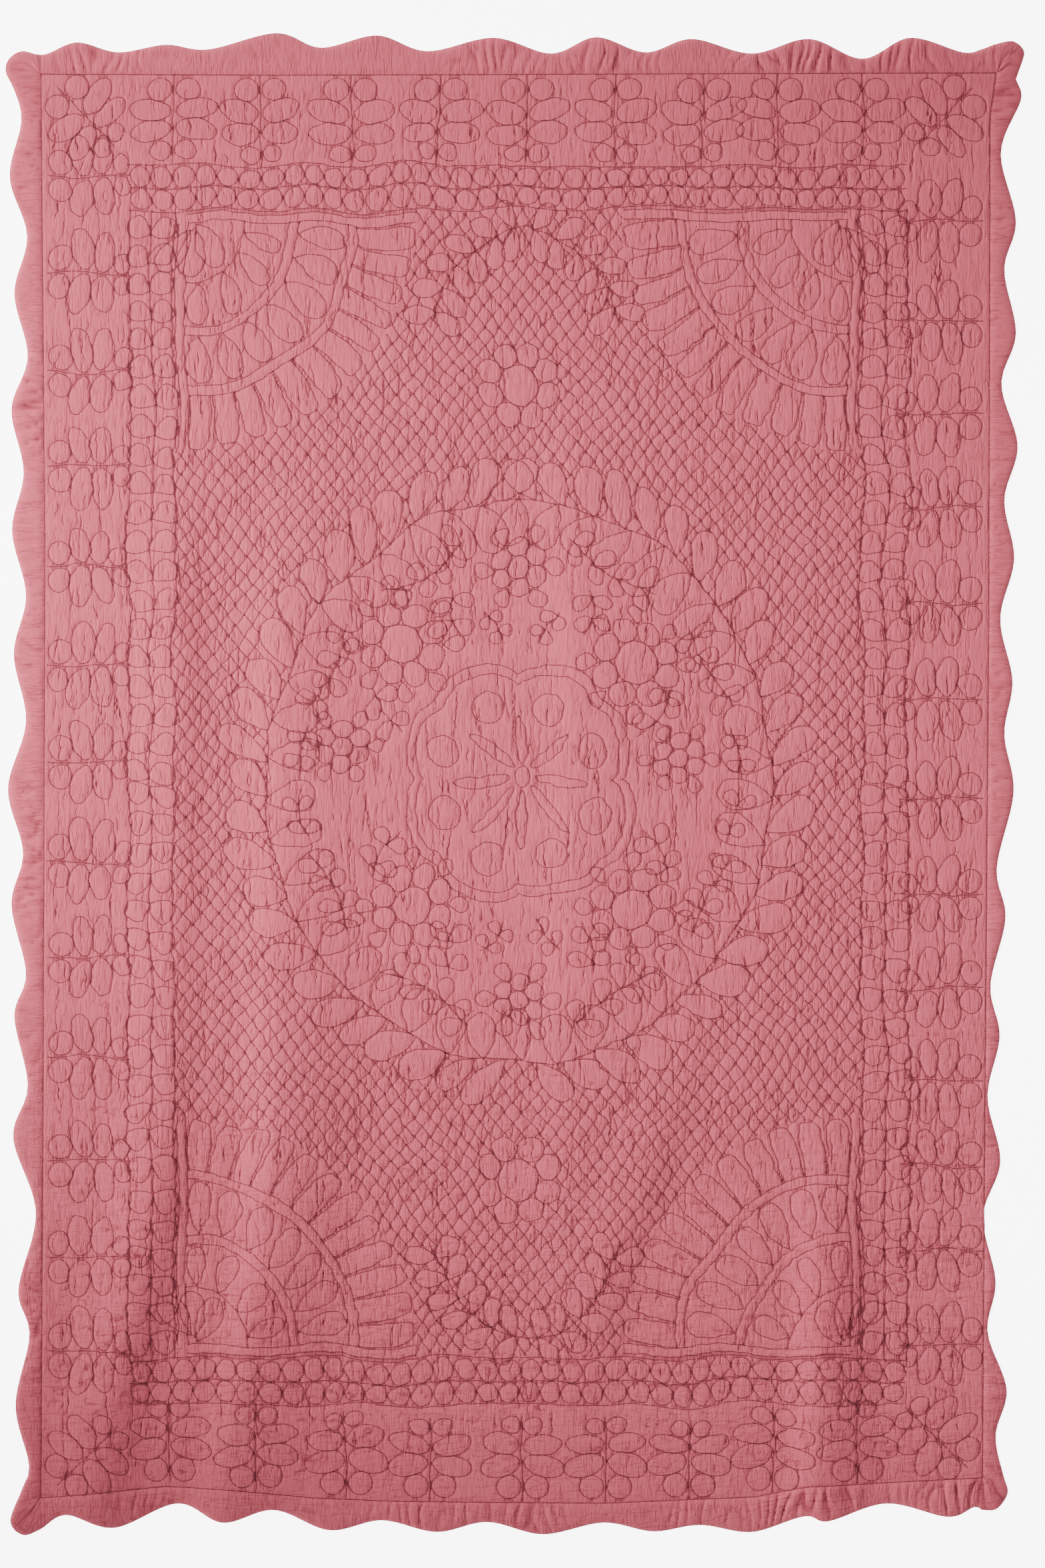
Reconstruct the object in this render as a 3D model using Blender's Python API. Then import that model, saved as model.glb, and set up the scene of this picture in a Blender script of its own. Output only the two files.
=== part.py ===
"""Wholecloth quilt laid flat, face up: one sewn sheet with a scalloped edge, raised pads and soft folds."""
import math
import random

import bmesh
import bpy
from mathutils import Vector
from mathutils.geometry import delaunay_2d_cdt, intersect_point_line

# Every size below is in millimetres from the middle of the quilt, X to the right, Y to the top edge.
MM = 0.001
SEAM_THICKNESS = 3.0
PAD_RISE = 4.6
PAD_REACH = 11.0
EDGE_THICKNESS = 3.0
PUCKER = 0.5
EDGE_STEP = 25.0
HEM_STEP = 58.0
MIN_SPACING = 8.0
FILL_SPACING = 40.0
FILL_CLEARANCE = 19.0
SEED = 7

# Scalloped edge, one row a scallop: where the notch before it lies along the side, how far out the
# notch lies, where the crest lies along the side, how far out the crest lies.
TOP_SCALLOPS = (
    (-813, 1258, -756, 1279), (-685, 1262, -603, 1275), (-530, 1267, -412, 1295),
    (-335, 1270, -238, 1291), (-152, 1264, -37, 1287), (62, 1260, 140, 1288),
    (225, 1262, 305, 1285), (408, 1260, 507, 1285), (599, 1251, 681, 1287),
)
RIGHT_SCALLOPS = (
    (1214, 864, 1181, 873), (1089, 838, 971, 864), (887, 844, 777, 864), (689, 839, 583, 867),
    (490, 844, 388, 861), (285, 837, 178, 858), (86, 844, -14, 860), (-145, 831, -231, 846),
    (-348, 820, -435, 836), (-539, 815, -651, 837), (-746, 807, -858, 829), (-945, 815, -1044, 848),
)
BOTTOM_SCALLOPS = (
    (792, -1247, 746, -1264), (641, -1241, 540, -1270), (499, -1262, 409, -1290),
    (319, -1278, 238, -1289), (152, -1274, 48, -1294), (-48, -1273, -136, -1290),
    (-230, -1270, -321, -1287), (-416, -1252, -504, -1273), (-583, -1241, -690, -1282),
)
LEFT_SCALLOPS = (
    (-1172, -839, -1071, -862), (-950, -838, -872, -857), (-739, -827, -610, -866),
    (-521, -841, -401, -864), (-327, -844, -208, -869), (-118, -849, -8, -875),
    (108, -844, 224, -865), (325, -844, 437, -868), (538, -848, 646, -869),
    (737, -841, 846, -864), (945, -842, 1046, -872),
)
# Rounded corner lobes, a row a point: x, y.
TOP_RIGHT_LOBE = ((772, 1262), (804, 1267), (829, 1276), (859, 1281), (878, 1264), (873, 1240))
BOTTOM_RIGHT_LOBE = ((829, -1122), (841, -1188), (850, -1222), (831, -1250), (806, -1252))
BOTTOM_LEFT_LOBE = ((-774, -1260), (-820, -1286), (-850, -1295), (-871, -1270), (-849, -1212))
TOP_LEFT_LOBE = ((-852, 1142), (-863, 1194), (-879, 1228), (-873, 1251), (-850, 1264))

# Line of stitches that holds the edge, a row a corner or bend: x, y.
HEM_LINE = (
    (-818, 1224), (-400, 1222), (150, 1224), (830, 1226), (819, 1150), (817, 300), (810, -600),
    (806, -1196), (616, -1206), (507, -1210), (415, -1229), (151, -1240), (-200, -1237),
    (-348, -1231), (-486, -1217), (-601, -1211), (-818, -1231), (-814, -500), (-811, 400),
)

# Sprays of petals that stand round the border, by the side they grow from: where each stem stands.
# The hem line isn't straight along the bottom, so a row there gives x and y.
SPRAY_Y_TOP = 1218
SPRAY_X_LEFT = -806
SPRAY_X_RIGHT = 808
SPRAY_TOP = (-588, -440, -283, -128, 21, 174, 325, 452, 598)
SPRAY_BOTTOM = (
    (-595, -1203), (-446, -1213), (-291, -1226), (-147, -1231), (13, -1233),
    (156, -1233), (300, -1230), (444, -1219), (590, -1202),
)
SPRAY_RIGHT = (971, 798, 639, 478, 312, 145, -25, -190, -351, -512, -660, -805, -966)
SPRAY_LEFT = (1050, 881, 714, 547, 375, 205, 38, -132, -299, -471, -650, -816, -977)
# One spray, a row a stage of its stem: how far along, half width at the notch, half width of the
# petal that follows.
SPRAY_STAGES = ((0, 9, 44), (43, 24, 70), (77, 36, 68), (111, 26, 36), (141, 7, 0))

# Sprays in the corners: x, y and the direction they grow in.
CORNER_SPRAYS = ((-788, 1200, -45), (790, 1200, -135), (-788, -1207, 45), (790, -1181, 135))

# Laurel band: a rectangle of paired leaves, with the leaf pitch on the short and the long sides.
LAUREL_LEFT = -627
LAUREL_RIGHT = 638
LAUREL_TOP = 1029
LAUREL_BOTTOM = -1029
LAUREL_HALF_WIDTH = 37
LAUREL_PITCH_SHORT = 44
LAUREL_PITCH_LONG = 50

# Corner fans: rings of the fan from its corner, the petals past the outer ring, and their count.
FAN_INSET = 60
FAN_RINGS = (100, 178, 290)
FAN_PETAL_NOTCH = 360
FAN_PETAL_TIP = 390
FAN_PETALS = 11
FAN_CELLS = (3, 5)

# Crosshatch of the field, sewn here at twice the pitch of the stitched one.
HATCH_WIDTH = 54
HATCH_HEIGHT = 74

# Medallion: an oval feather wreath round flowers and a four-lobed middle.
MEDALLION_X = 8
MEDALLION_Y = 4
WREATH_RX = 436
WREATH_RY = 484
WREATH_LEAVES = 40
WREATH_LEAF_LENGTH = 92
WREATH_LEAF_HALF_WIDTH = 25
WREATH_LEAN = 52
LOBE_NEAR = 96
LOBE_FAR = 196
LOBE_POINTS = 24
RING_NEAR = 55
RING_FAR = 128
RING_RADIUS = 25
SPOKE_INNER = 18
SPOKE_OUTER = 112

# Flowers, a row a flower: x, y, core radius, petal radius, petals.
FLOWERS = (
    (-192, 239, 34, 22, 8), (207, 208, 34, 22, 8), (-179, -209, 34, 22, 8), (205, -215, 34, 22, 8),
    (5, 690, 36, 22, 8), (5, -682, 36, 22, 8),
    (-300, 67, 20, 16, 6), (284, 41, 20, 16, 6), (8, 372, 20, 16, 6), (8, -372, 20, 16, 6),
)

# Leaf garlands at the middle of the top and the bottom of the field, a row a point of one stem,
# from the middle outwards: x, distance from the quilt's middle line.
SWAG_STEM = ((18, 958), (70, 944), (122, 904), (158, 852), (182, 792))
SWAG_MIDDLE = 18
SWAG_LEAF = 46

# Soft folds of the laid cloth, a row a station: fold, y, x of the crest, lift, half width.
FOLDS = (
    ("left", 480, -392, 0, 75), ("left", 250, -394, 6, 80), ("left", -90, -398, 6, 80),
    ("left", -370, -404, 5, 80), ("left", -600, -412, 8, 80), ("left", -830, -430, 9, 80),
    ("left", -1010, -458, 8, 75), ("left", -1150, -487, 7, 72), ("left", -1300, -510, 6, 70),
    ("edge", 340, -606, 0, 95), ("edge", 120, -606, 5, 100), ("edge", -260, -612, 4, 100),
    ("edge", -490, -628, 6, 100), ("edge", -720, -655, 9, 105), ("edge", -940, -695, 10, 105),
    ("edge", -1120, -728, 8, 100), ("edge", -1300, -748, 6, 100),
    ("middle", 690, 122, 0, 110), ("middle", 540, 128, 4, 115), ("middle", 190, 134, 5, 120),
    ("middle", -90, 128, 5, 120), ("middle", -380, 112, 4, 115), ("middle", -720, 100, 3, 110),
    ("middle", -920, 100, 0, 110),
    ("slant", -370, 296, 0, 85), ("slant", -500, 272, 5, 88), ("slant", -660, 222, 7, 88),
    ("slant", -850, 150, 7, 88), ("slant", -1030, 112, 5, 85), ("slant", -1180, 100, 0, 85),
    ("right", -560, 508, 0, 95), ("right", -720, 508, 6, 98), ("right", -890, 502, 9, 98),
    ("right", -1060, 490, 9, 96), ("right", -1180, 485, 8, 95), ("right", -1300, 480, 6, 95),
)


def clear_scene():
    for item in list(bpy.data.objects):
        bpy.data.objects.remove(item)


def smooth_loop(points, step):
    """Closed curve through the points, sampled about every step."""
    curve = []
    count = len(points)
    for i in range(count):
        before, start, end, after = (points[(i + k - 1) % count] for k in range(4))
        pieces = max(2, round(math.dist(start, end) / step))
        for piece in range(pieces):
            t = piece / pieces
            curve.append(tuple(
                0.5 * (2 * b + (c - a) * t + (2 * a - 5 * b + 4 * c - d) * t ** 2
                       + (3 * b - a - 3 * c + d) * t ** 3)
                for a, b, c, d in zip(before, start, end, after)
            ))
    return curve


def edge_points():
    """Notches, crests and corner lobes in order round the quilt, clockwise from the top left."""
    points = []
    for notch_x, notch_y, crest_x, crest_y in TOP_SCALLOPS:
        points += [(notch_x, notch_y), (crest_x, crest_y)]
    points += TOP_RIGHT_LOBE
    for notch_y, notch_x, crest_y, crest_x in RIGHT_SCALLOPS:
        points += [(notch_x, notch_y), (crest_x, crest_y)]
    points += BOTTOM_RIGHT_LOBE
    for notch_x, notch_y, crest_x, crest_y in BOTTOM_SCALLOPS:
        points += [(notch_x, notch_y), (crest_x, crest_y)]
    points += BOTTOM_LEFT_LOBE
    for notch_y, notch_x, crest_y, crest_x in LEFT_SCALLOPS:
        points += [(notch_x, notch_y), (crest_x, crest_y)]
    points += TOP_LEFT_LOBE
    return points


def ease(value):
    value = min(max(value, 0.0), 1.0)
    return value * value * (3 - 2 * value)


def fold_lift(x, y):
    """Height that the folds raise the cloth off the surface."""
    lift = 0.0
    for (name, y0, x0, h0, w0), (other, y1, x1, h1, w1) in zip(FOLDS, FOLDS[1:]):
        if name != other or not y1 <= y <= y0:
            continue
        t = (y0 - y) / (y0 - y1)
        across = abs(x - (x0 + (x1 - x0) * t)) / (w0 + (w1 - w0) * t)
        lift = max(lift, (h0 + (h1 - h0) * t) * ease(1 - across))
    return lift


class SeamPlan:
    """Sewn points, seams between them and the tops of the pads, as flat coordinates."""

    def __init__(self):
        self.points = []
        self.seams = []
        self.cells = {}
        self.pads = []

    def near(self, x, y, reach):
        span = math.ceil(reach / HEM_STEP)
        column, row = (math.floor(v / HEM_STEP) for v in (x, y))
        best = None
        for i in range(column - span, column + span + 1):
            for j in range(row - span, row + span + 1):
                for index in self.cells.get((i, j), ()):
                    gap = math.dist(self.points[index], (x, y))
                    if gap < reach:
                        best, reach = index, gap
        return best

    def point(self, x, y):
        index = self.near(x, y, MIN_SPACING)
        if index is None:
            index = len(self.points)
            self.points.append((x, y))
            cell = (math.floor(x / HEM_STEP), math.floor(y / HEM_STEP))
            self.cells.setdefault(cell, []).append(index)
        return index

    def seam(self, path, closed=False):
        ends = [self.point(x, y) for x, y in path]
        if closed:
            ends.append(ends[0])
        self.seams += [(a, b) for a, b in zip(ends, ends[1:]) if a != b]

    def pad(self, x, y):
        if self.near(x, y, MIN_SPACING) is None:
            self.pads.append((x, y))


def place(origin, turn, along, across):
    """Point at a distance along and across a direction, from an origin."""
    ahead = (math.cos(turn), math.sin(turn))
    return (origin[0] + along * ahead[0] - across * ahead[1],
            origin[1] + along * ahead[1] + across * ahead[0])


def on_path(path, step):
    """Points about every step along straight runs."""
    points = []
    for start, end in zip(path, path[1:]):
        pieces = max(1, round(math.dist(start, end) / step))
        points += [tuple(a + (b - a) * i / pieces for a, b in zip(start, end)) for i in range(pieces)]
    return points + [path[-1]]


def spray(plan, origin, turn):
    """A stem with four pairs of petals, growing from origin."""
    plan.seam([place(origin, turn, stage[0], 0) for stage in SPRAY_STAGES])
    for side in (-1, 1):
        for (start, notch, bulge), (end, next_notch, _) in zip(SPRAY_STAGES, SPRAY_STAGES[1:]):
            middle = (start + end) / 2
            outline = ((start, 0), (start, notch), (middle, bulge), (end, next_notch), (end, 0))
            plan.seam([place(origin, turn, along, side * across) for along, across in outline])
            plan.pad(*place(origin, turn, middle, side * bulge * 0.5))


def border(plan):
    """Sprays along the four sides and one in each corner."""
    for x in SPRAY_TOP:
        spray(plan, (x, SPRAY_Y_TOP), -math.pi / 2)
    for base in SPRAY_BOTTOM:
        spray(plan, base, math.pi / 2)
    for y in SPRAY_LEFT:
        spray(plan, (SPRAY_X_LEFT, y), 0)
    for y in SPRAY_RIGHT:
        spray(plan, (SPRAY_X_RIGHT, y), math.pi)
    for x, y, turn in CORNER_SPRAYS:
        spray(plan, (x, y), math.radians(turn))


def laurel_side(plan, start, end, pitch):
    """Paired leaves along one straight side."""
    length = math.dist(start, end)
    turn = math.atan2(end[1] - start[1], end[0] - start[0])
    count = round(length / pitch)
    step = length / count
    for side in (-1, 1):
        rail = [place(start, turn, i * step, side * LAUREL_HALF_WIDTH) for i in range(count + 1)]
        plan.seam(rail)
        for i in range(count):
            plan.pad(*place(start, turn, (i + 0.5) * step, side * LAUREL_HALF_WIDTH * 0.5))
    for i in range(count + 1):
        plan.seam([place(start, turn, i * step, side * LAUREL_HALF_WIDTH) for side in (-1, 0, 1)])
    plan.seam([place(start, turn, i * step, 0) for i in range(count + 1)])


def laurel(plan):
    w = LAUREL_HALF_WIDTH
    left, right, top, bottom = LAUREL_LEFT, LAUREL_RIGHT, LAUREL_TOP, LAUREL_BOTTOM
    for y in (top, bottom):
        laurel_side(plan, (left - w, y), (right + w, y), LAUREL_PITCH_SHORT)
    for x in (left, right):
        laurel_side(plan, (x, top - w), (x, bottom + w), LAUREL_PITCH_LONG)


def fan_corners():
    left = LAUREL_LEFT + FAN_INSET
    right = LAUREL_RIGHT - FAN_INSET
    top = LAUREL_TOP - FAN_INSET
    bottom = LAUREL_BOTTOM + FAN_INSET
    return ((left, top, 1, -1), (right, top, -1, -1), (left, bottom, 1, 1), (right, bottom, -1, 1))


def fan(plan, corner_x, corner_y, sign_x, sign_y):
    """Quarter rings round a corner with rounded petals past the outer one."""
    def at(radius, share):
        angle = share * math.pi / 2
        return (corner_x + sign_x * radius * math.cos(angle), corner_y + sign_y * radius * math.sin(angle))

    plan.seam([(corner_x, corner_y)] + [at(r, 0) for r in (*FAN_RINGS, FAN_PETAL_NOTCH)])
    plan.seam([(corner_x, corner_y)] + [at(r, 1) for r in (*FAN_RINGS, FAN_PETAL_NOTCH)])
    outer = FAN_RINGS[-1]
    for radius in FAN_RINGS:
        pieces = max(3, round(radius * FAN_PETALS / outer))
        plan.seam([at(radius, i / pieces) for i in range(pieces + 1)])
    for inner, ring, pieces in zip(FAN_RINGS, FAN_RINGS[1:], FAN_CELLS):
        for i in range(pieces):
            if i:
                plan.seam([at(inner, i / pieces), at(ring, i / pieces)])
            plan.pad(*at((inner + ring) / 2, (i + 0.5) / pieces))
    plan.pad(*at(FAN_RINGS[0] * 0.6, 0.5))
    for i in range(FAN_PETALS):
        start, middle, end = (i / FAN_PETALS, (i + 0.5) / FAN_PETALS, (i + 1) / FAN_PETALS)
        plan.seam([at(outer, start), at(FAN_PETAL_NOTCH, start), at(FAN_PETAL_TIP, middle),
                   at(FAN_PETAL_NOTCH, end), at(outer, end)])
        plan.pad(*at((outer + FAN_PETAL_NOTCH) / 2 + 8, middle))


def flower(plan, x, y, core, petal, count):
    """Round core and a ring of petals that touch."""
    reach = core + 2 * petal
    plan.pad(x, y)
    for i in range(count):
        start, middle, end = (2 * math.pi * (i + k) / count for k in (0, 0.5, 1))
        outline = ((core, start), (core + petal * 1.1, start), (reach, middle),
                   (core + petal * 1.1, end), (core, end))
        plan.seam([place((x, y), angle, radius, 0) for radius, angle in outline])
        plan.seam([place((x, y), angle, core, 0) for angle in (start, end)])
        plan.pad(*place((x, y), middle, core + petal, 0))


def leaf(plan, base, turn, length, half_width):
    """Pointed at its base and round at its tip."""
    outline = ((0, 0), (length * 0.6, half_width), (length, half_width * 0.35),
               (length, -half_width * 0.35), (length * 0.6, -half_width))
    plan.seam([place(base, turn, along, across) for along, across in outline], closed=True)
    plan.pad(*place(base, turn, length * 0.62, 0))


def wreath(plan):
    """Oval stem with leaves that lean along it on both sides."""
    stem = []
    for i in range(WREATH_LEAVES):
        angle = 2 * math.pi * (i + 0.5) / WREATH_LEAVES
        x, y = WREATH_RX * math.cos(angle), WREATH_RY * math.sin(angle)
        point = (MEDALLION_X + x, MEDALLION_Y + y)
        stem.append(point)
        outward = math.atan2(y / WREATH_RY ** 2, x / WREATH_RX ** 2)
        upward = 1 if x < 0 else -1
        lean = math.radians(WREATH_LEAN) * upward
        leaf(plan, point, outward - lean, WREATH_LEAF_LENGTH, WREATH_LEAF_HALF_WIDTH)
        leaf(plan, point, outward + math.pi + lean, WREATH_LEAF_LENGTH, WREATH_LEAF_HALF_WIDTH)
    plan.seam(stem, closed=True)


def four_lobes(plan):
    """Four-lobed frame with rings in its lobes and spokes from its middle."""
    middle = (MEDALLION_X, MEDALLION_Y)
    outline = []
    for i in range(LOBE_POINTS):
        angle = 2 * math.pi * i / LOBE_POINTS
        radius = LOBE_NEAR + (LOBE_FAR - LOBE_NEAR) * math.cos(2 * angle) ** 2
        outline.append(place(middle, angle, radius, 0))
    plan.seam(outline, closed=True)
    for sign_x in (-1, 1):
        for sign_y in (-1, 1):
            for x, y in ((RING_NEAR, RING_FAR), (RING_FAR, RING_NEAR * 1.1)):
                centre = (middle[0] + sign_x * x, middle[1] + sign_y * y)
                plan.seam([place(centre, math.radians(60 * k), RING_RADIUS, 0) for k in range(6)], closed=True)
                plan.pad(*centre)
    for i in range(8):
        turn = math.radians(45 * i + 22.5)
        plan.seam([place(middle, turn, along, 0) for along in (SPOKE_INNER, (SPOKE_INNER + SPOKE_OUTER) / 2)])
    plan.seam([place(middle, math.radians(45 * i + 22.5), SPOKE_INNER, 0) for i in range(8)], closed=True)
    plan.pad(*middle)


def garland(plan, up):
    """Two leafy stems that fall away from the middle of the field's short side."""
    for side in (-1, 1):
        stem = [(SWAG_MIDDLE + side * (x - SWAG_MIDDLE), up * y) for x, y in SWAG_STEM]
        plan.seam(stem)
        for start, end in zip(stem, stem[1:]):
            turn = math.atan2(end[1] - start[1], end[0] - start[0])
            base = tuple((a + b) / 2 for a, b in zip(start, end))
            for lean in (-1, 1):
                leaf(plan, base, turn + lean * math.radians(62), SWAG_LEAF, SWAG_LEAF * 0.36)


def in_field(x, y, margin):
    """True on the crosshatched ground, this far clear of the other motifs."""
    w = LAUREL_HALF_WIDTH + margin
    if not (LAUREL_LEFT + w < x < LAUREL_RIGHT - w and LAUREL_BOTTOM + w < y < LAUREL_TOP - w):
        return False
    spread = WREATH_LEAF_LENGTH * 0.7 + margin
    if math.hypot((x - MEDALLION_X) / (WREATH_RX + spread), (y - MEDALLION_Y) / (WREATH_RY + spread)) < 1:
        return False
    for corner_x, corner_y, sign_x, sign_y in fan_corners():
        if math.dist((x, y), (corner_x, corner_y)) < FAN_PETAL_TIP + margin:
            return False
    for flower_x, flower_y, core, petal, _ in FLOWERS:
        if math.dist((x, y), (flower_x, flower_y)) < core + 2 * petal + margin:
            return False
    mirrored = (SWAG_MIDDLE + abs(x - SWAG_MIDDLE), abs(y))
    for start, end in zip(SWAG_STEM, SWAG_STEM[1:]):
        nearest, share = intersect_point_line(mirrored, start, end)
        if -0.1 <= share <= 1.1 and math.dist(mirrored, nearest) < SWAG_LEAF * 0.9 + margin:
            return False
    return True


def crosshatch(plan):
    columns = math.ceil((LAUREL_RIGHT - LAUREL_LEFT) / HATCH_WIDTH)
    rows = math.ceil((LAUREL_TOP - LAUREL_BOTTOM) / HATCH_HEIGHT)
    for i in range(-columns, columns + 1):
        for j in range(-rows, rows + 1):
            x, y = i * HATCH_WIDTH / 2, j * HATCH_HEIGHT / 2
            if (i + j) % 2:
                if in_field(x, y, HATCH_WIDTH * 0.3):
                    plan.pad(x, y)
                continue
            for side in (-1, 1):
                other = (x + side * HATCH_WIDTH / 2, y + HATCH_HEIGHT / 2)
                if in_field(x, y, MIN_SPACING) and in_field(*other, MIN_SPACING):
                    plan.seam([(x, y), other])


def seam_distance(plan, x, y, reach):
    """Distance to the nearest seam, looked for among the seams that start near."""
    best = reach
    for a, b in plan.seams:
        start, end = plan.points[a], plan.points[b]
        if min(abs(start[0] - x), abs(end[0] - x)) > reach + HEM_STEP:
            continue
        if min(abs(start[1] - y), abs(end[1] - y)) > reach + HEM_STEP:
            continue
        nearest, share = intersect_point_line((x, y), start, end)
        share = min(max(share, 0.0), 1.0)
        nearest = tuple(p + (q - p) * share for p, q in zip(start, end))
        best = min(best, math.dist(nearest, (x, y)))
    return best


def fill_open_cells(plan, outline, rng):
    """Pads wherever a cell between the motifs has none yet."""
    plan.cells = {}
    for index, (x, y) in enumerate(plan.points):
        plan.cells.setdefault((math.floor(x / HEM_STEP), math.floor(y / HEM_STEP)), []).append(index)
    half_width, half_length = (max(abs(p[axis]) for p in outline) for axis in (0, 1))
    rows = math.ceil(half_length / FILL_SPACING)
    columns = math.ceil(half_width / FILL_SPACING)
    added = []
    for j in range(-rows, rows + 1):
        for i in range(-columns, columns + 1):
            x = (i + rng.uniform(-0.3, 0.3)) * FILL_SPACING
            y = (j + rng.uniform(-0.3, 0.3)) * FILL_SPACING
            if plan.near(x, y, FILL_CLEARANCE) is not None:
                continue
            if any(math.dist(pad, (x, y)) < FILL_CLEARANCE * 1.4 for pad in plan.pads + added):
                continue
            if seam_distance(plan, x, y, FILL_CLEARANCE * 0.6) >= FILL_CLEARANCE * 0.6:
                added.append((x, y))
    plan.pads += added


def inside(outline, x, y):
    crossings = 0
    for (x0, y0), (x1, y1) in zip(outline, outline[1:] + outline[:1]):
        if (y0 > y) != (y1 > y) and x < x0 + (x1 - x0) * (y - y0) / (y1 - y0):
            crossings += 1
    return crossings % 2 == 1


def edge_distance(outline, x, y):
    return min(math.dist(point, (x, y)) for point in outline)


def triangulate(outline, points, seams):
    """Triangles inside the outline that keep the seams as edges; each point's source comes with it."""
    flat = [Vector(p) for p in outline + points]
    count = len(outline)
    edges = [(a + count, b + count) for a, b in seams]
    rim = [list(range(count))[::-1]]
    found = delaunay_2d_cdt(flat, edges, rim, 1, 0.01)
    return found[0], found[2], found[3]


def face_surface(plan, outline, rng):
    """The quilted face: low along the seams and raised at the pads."""
    clear = FILL_CLEARANCE * 0.8
    pads = [pad for pad in plan.pads if inside(outline, *pad) and edge_distance(outline, *pad) > clear]
    places, triangles, sources = triangulate(outline, plan.points + pads, plan.seams)
    first_pad = len(outline) + len(plan.points)
    corners = []
    for place_2d, source in zip(places, sources):
        x, y = place_2d
        thickness = SEAM_THICKNESS
        if source and min(source) < len(outline):
            thickness = EDGE_THICKNESS
        elif source and min(source) >= first_pad:
            gap = seam_distance(plan, x, y, HEM_STEP)
            thickness += PAD_RISE * (1 - math.exp(-gap / PAD_REACH)) + rng.uniform(-PUCKER, PUCKER)
        corners.append((x * MM, y * MM, (thickness + fold_lift(x, y)) * MM))
    return corners, triangles


def back_surface(outline):
    """The back: flat on the surface, and lifted along the folds."""
    points = []
    for name, y, x, lift, width in FOLDS:
        points += [(x + share * width, y) for share in (-1, -0.5, 0, 0.5, 1)]
    for (name, y0, x0, _, w0), (other, y1, x1, _, w1) in zip(FOLDS, FOLDS[1:]):
        if name == other:
            y, x, width = (y0 + y1) / 2, (x0 + x1) / 2, (w0 + w1) / 2
            points += [(x + share * width, y) for share in (-1, -0.5, 0, 0.5, 1)]
    chosen = []
    for x, y in points:
        clear = all(math.dist(point, (x, y)) > HEM_STEP * 0.5 for point in chosen)
        if clear and inside(outline, x, y) and edge_distance(outline, x, y) > EDGE_STEP:
            chosen.append((x, y))
    places, triangles, _ = triangulate(outline, chosen, [])
    return [(x * MM, y * MM, fold_lift(x, y) * MM) for x, y in places], triangles


def sewn_sheet(name, plan, outline, rng):
    """Face and back joined round the edge into one closed body."""
    form = bmesh.new()
    for corners, triangles in (face_surface(plan, outline, rng), back_surface(outline)):
        verts = [form.verts.new(corner) for corner in corners]
        for triangle in triangles:
            form.faces.new([verts[i] for i in triangle])
    rims = [edge for edge in form.edges if len(edge.link_faces) == 1]
    bmesh.ops.bridge_loops(form, edges=rims)
    bmesh.ops.triangulate(form, faces=form.faces[:])
    bmesh.ops.recalc_face_normals(form, faces=form.faces[:])
    mesh = bpy.data.meshes.new(name)
    form.to_mesh(mesh)
    form.free()
    mesh.shade_smooth()
    return bpy.data.objects.new(name, mesh)


def cotton():
    material = bpy.data.materials.new("washed_cotton")
    material.use_nodes = True
    shader = material.node_tree.nodes["Principled BSDF"]
    shader.inputs["Base Color"].default_value = (0.57, 0.19, 0.215, 1)
    shader.inputs["Roughness"].default_value = 0.9
    shader.inputs["Metallic"].default_value = 0
    return material


def build_quilt():
    clear_scene()
    rng = random.Random(SEED)
    outline = smooth_loop(edge_points(), EDGE_STEP)
    plan = SeamPlan()
    plan.seam(on_path(HEM_LINE + HEM_LINE[:1], HEM_STEP)[:-1], closed=True)
    border(plan)
    laurel(plan)
    for corner in fan_corners():
        fan(plan, *corner)
    wreath(plan)
    four_lobes(plan)
    for row in FLOWERS:
        flower(plan, *row)
    for up in (-1, 1):
        garland(plan, up)
    crosshatch(plan)
    fill_open_cells(plan, outline, rng)
    quilt = sewn_sheet("quilt", plan, outline, rng)
    quilt.data.materials.append(cotton())
    group = bpy.data.collections.new("wholecloth_quilt")
    bpy.context.scene.collection.children.link(group)
    group.objects.link(quilt)


build_quilt()
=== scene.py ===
import math

import bpy
import numpy as np
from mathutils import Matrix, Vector, kdtree


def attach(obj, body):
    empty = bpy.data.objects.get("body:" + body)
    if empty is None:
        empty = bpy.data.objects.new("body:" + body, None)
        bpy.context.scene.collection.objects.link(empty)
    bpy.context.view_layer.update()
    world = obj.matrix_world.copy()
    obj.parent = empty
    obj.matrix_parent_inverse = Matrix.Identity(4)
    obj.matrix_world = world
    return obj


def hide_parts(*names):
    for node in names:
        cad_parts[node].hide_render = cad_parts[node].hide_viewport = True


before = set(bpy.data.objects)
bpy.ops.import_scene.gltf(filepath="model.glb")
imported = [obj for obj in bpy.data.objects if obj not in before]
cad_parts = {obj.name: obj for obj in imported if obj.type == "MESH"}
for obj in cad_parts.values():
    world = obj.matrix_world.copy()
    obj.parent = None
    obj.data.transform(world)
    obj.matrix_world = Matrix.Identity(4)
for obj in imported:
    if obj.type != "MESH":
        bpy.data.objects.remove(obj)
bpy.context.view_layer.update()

# Sewing plan of the face.
# The real quilt is one face cloth, thin filling and backing, sewn through by hand along a drawn plan.
# Places are in millimetres from its middle, and a point of the plan is a complex number, x + iy.
MM = 0.001
RIGHT_ANGLE = math.pi / 2
PLAN_STEP = 2.2
sewn_lines = []


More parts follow.
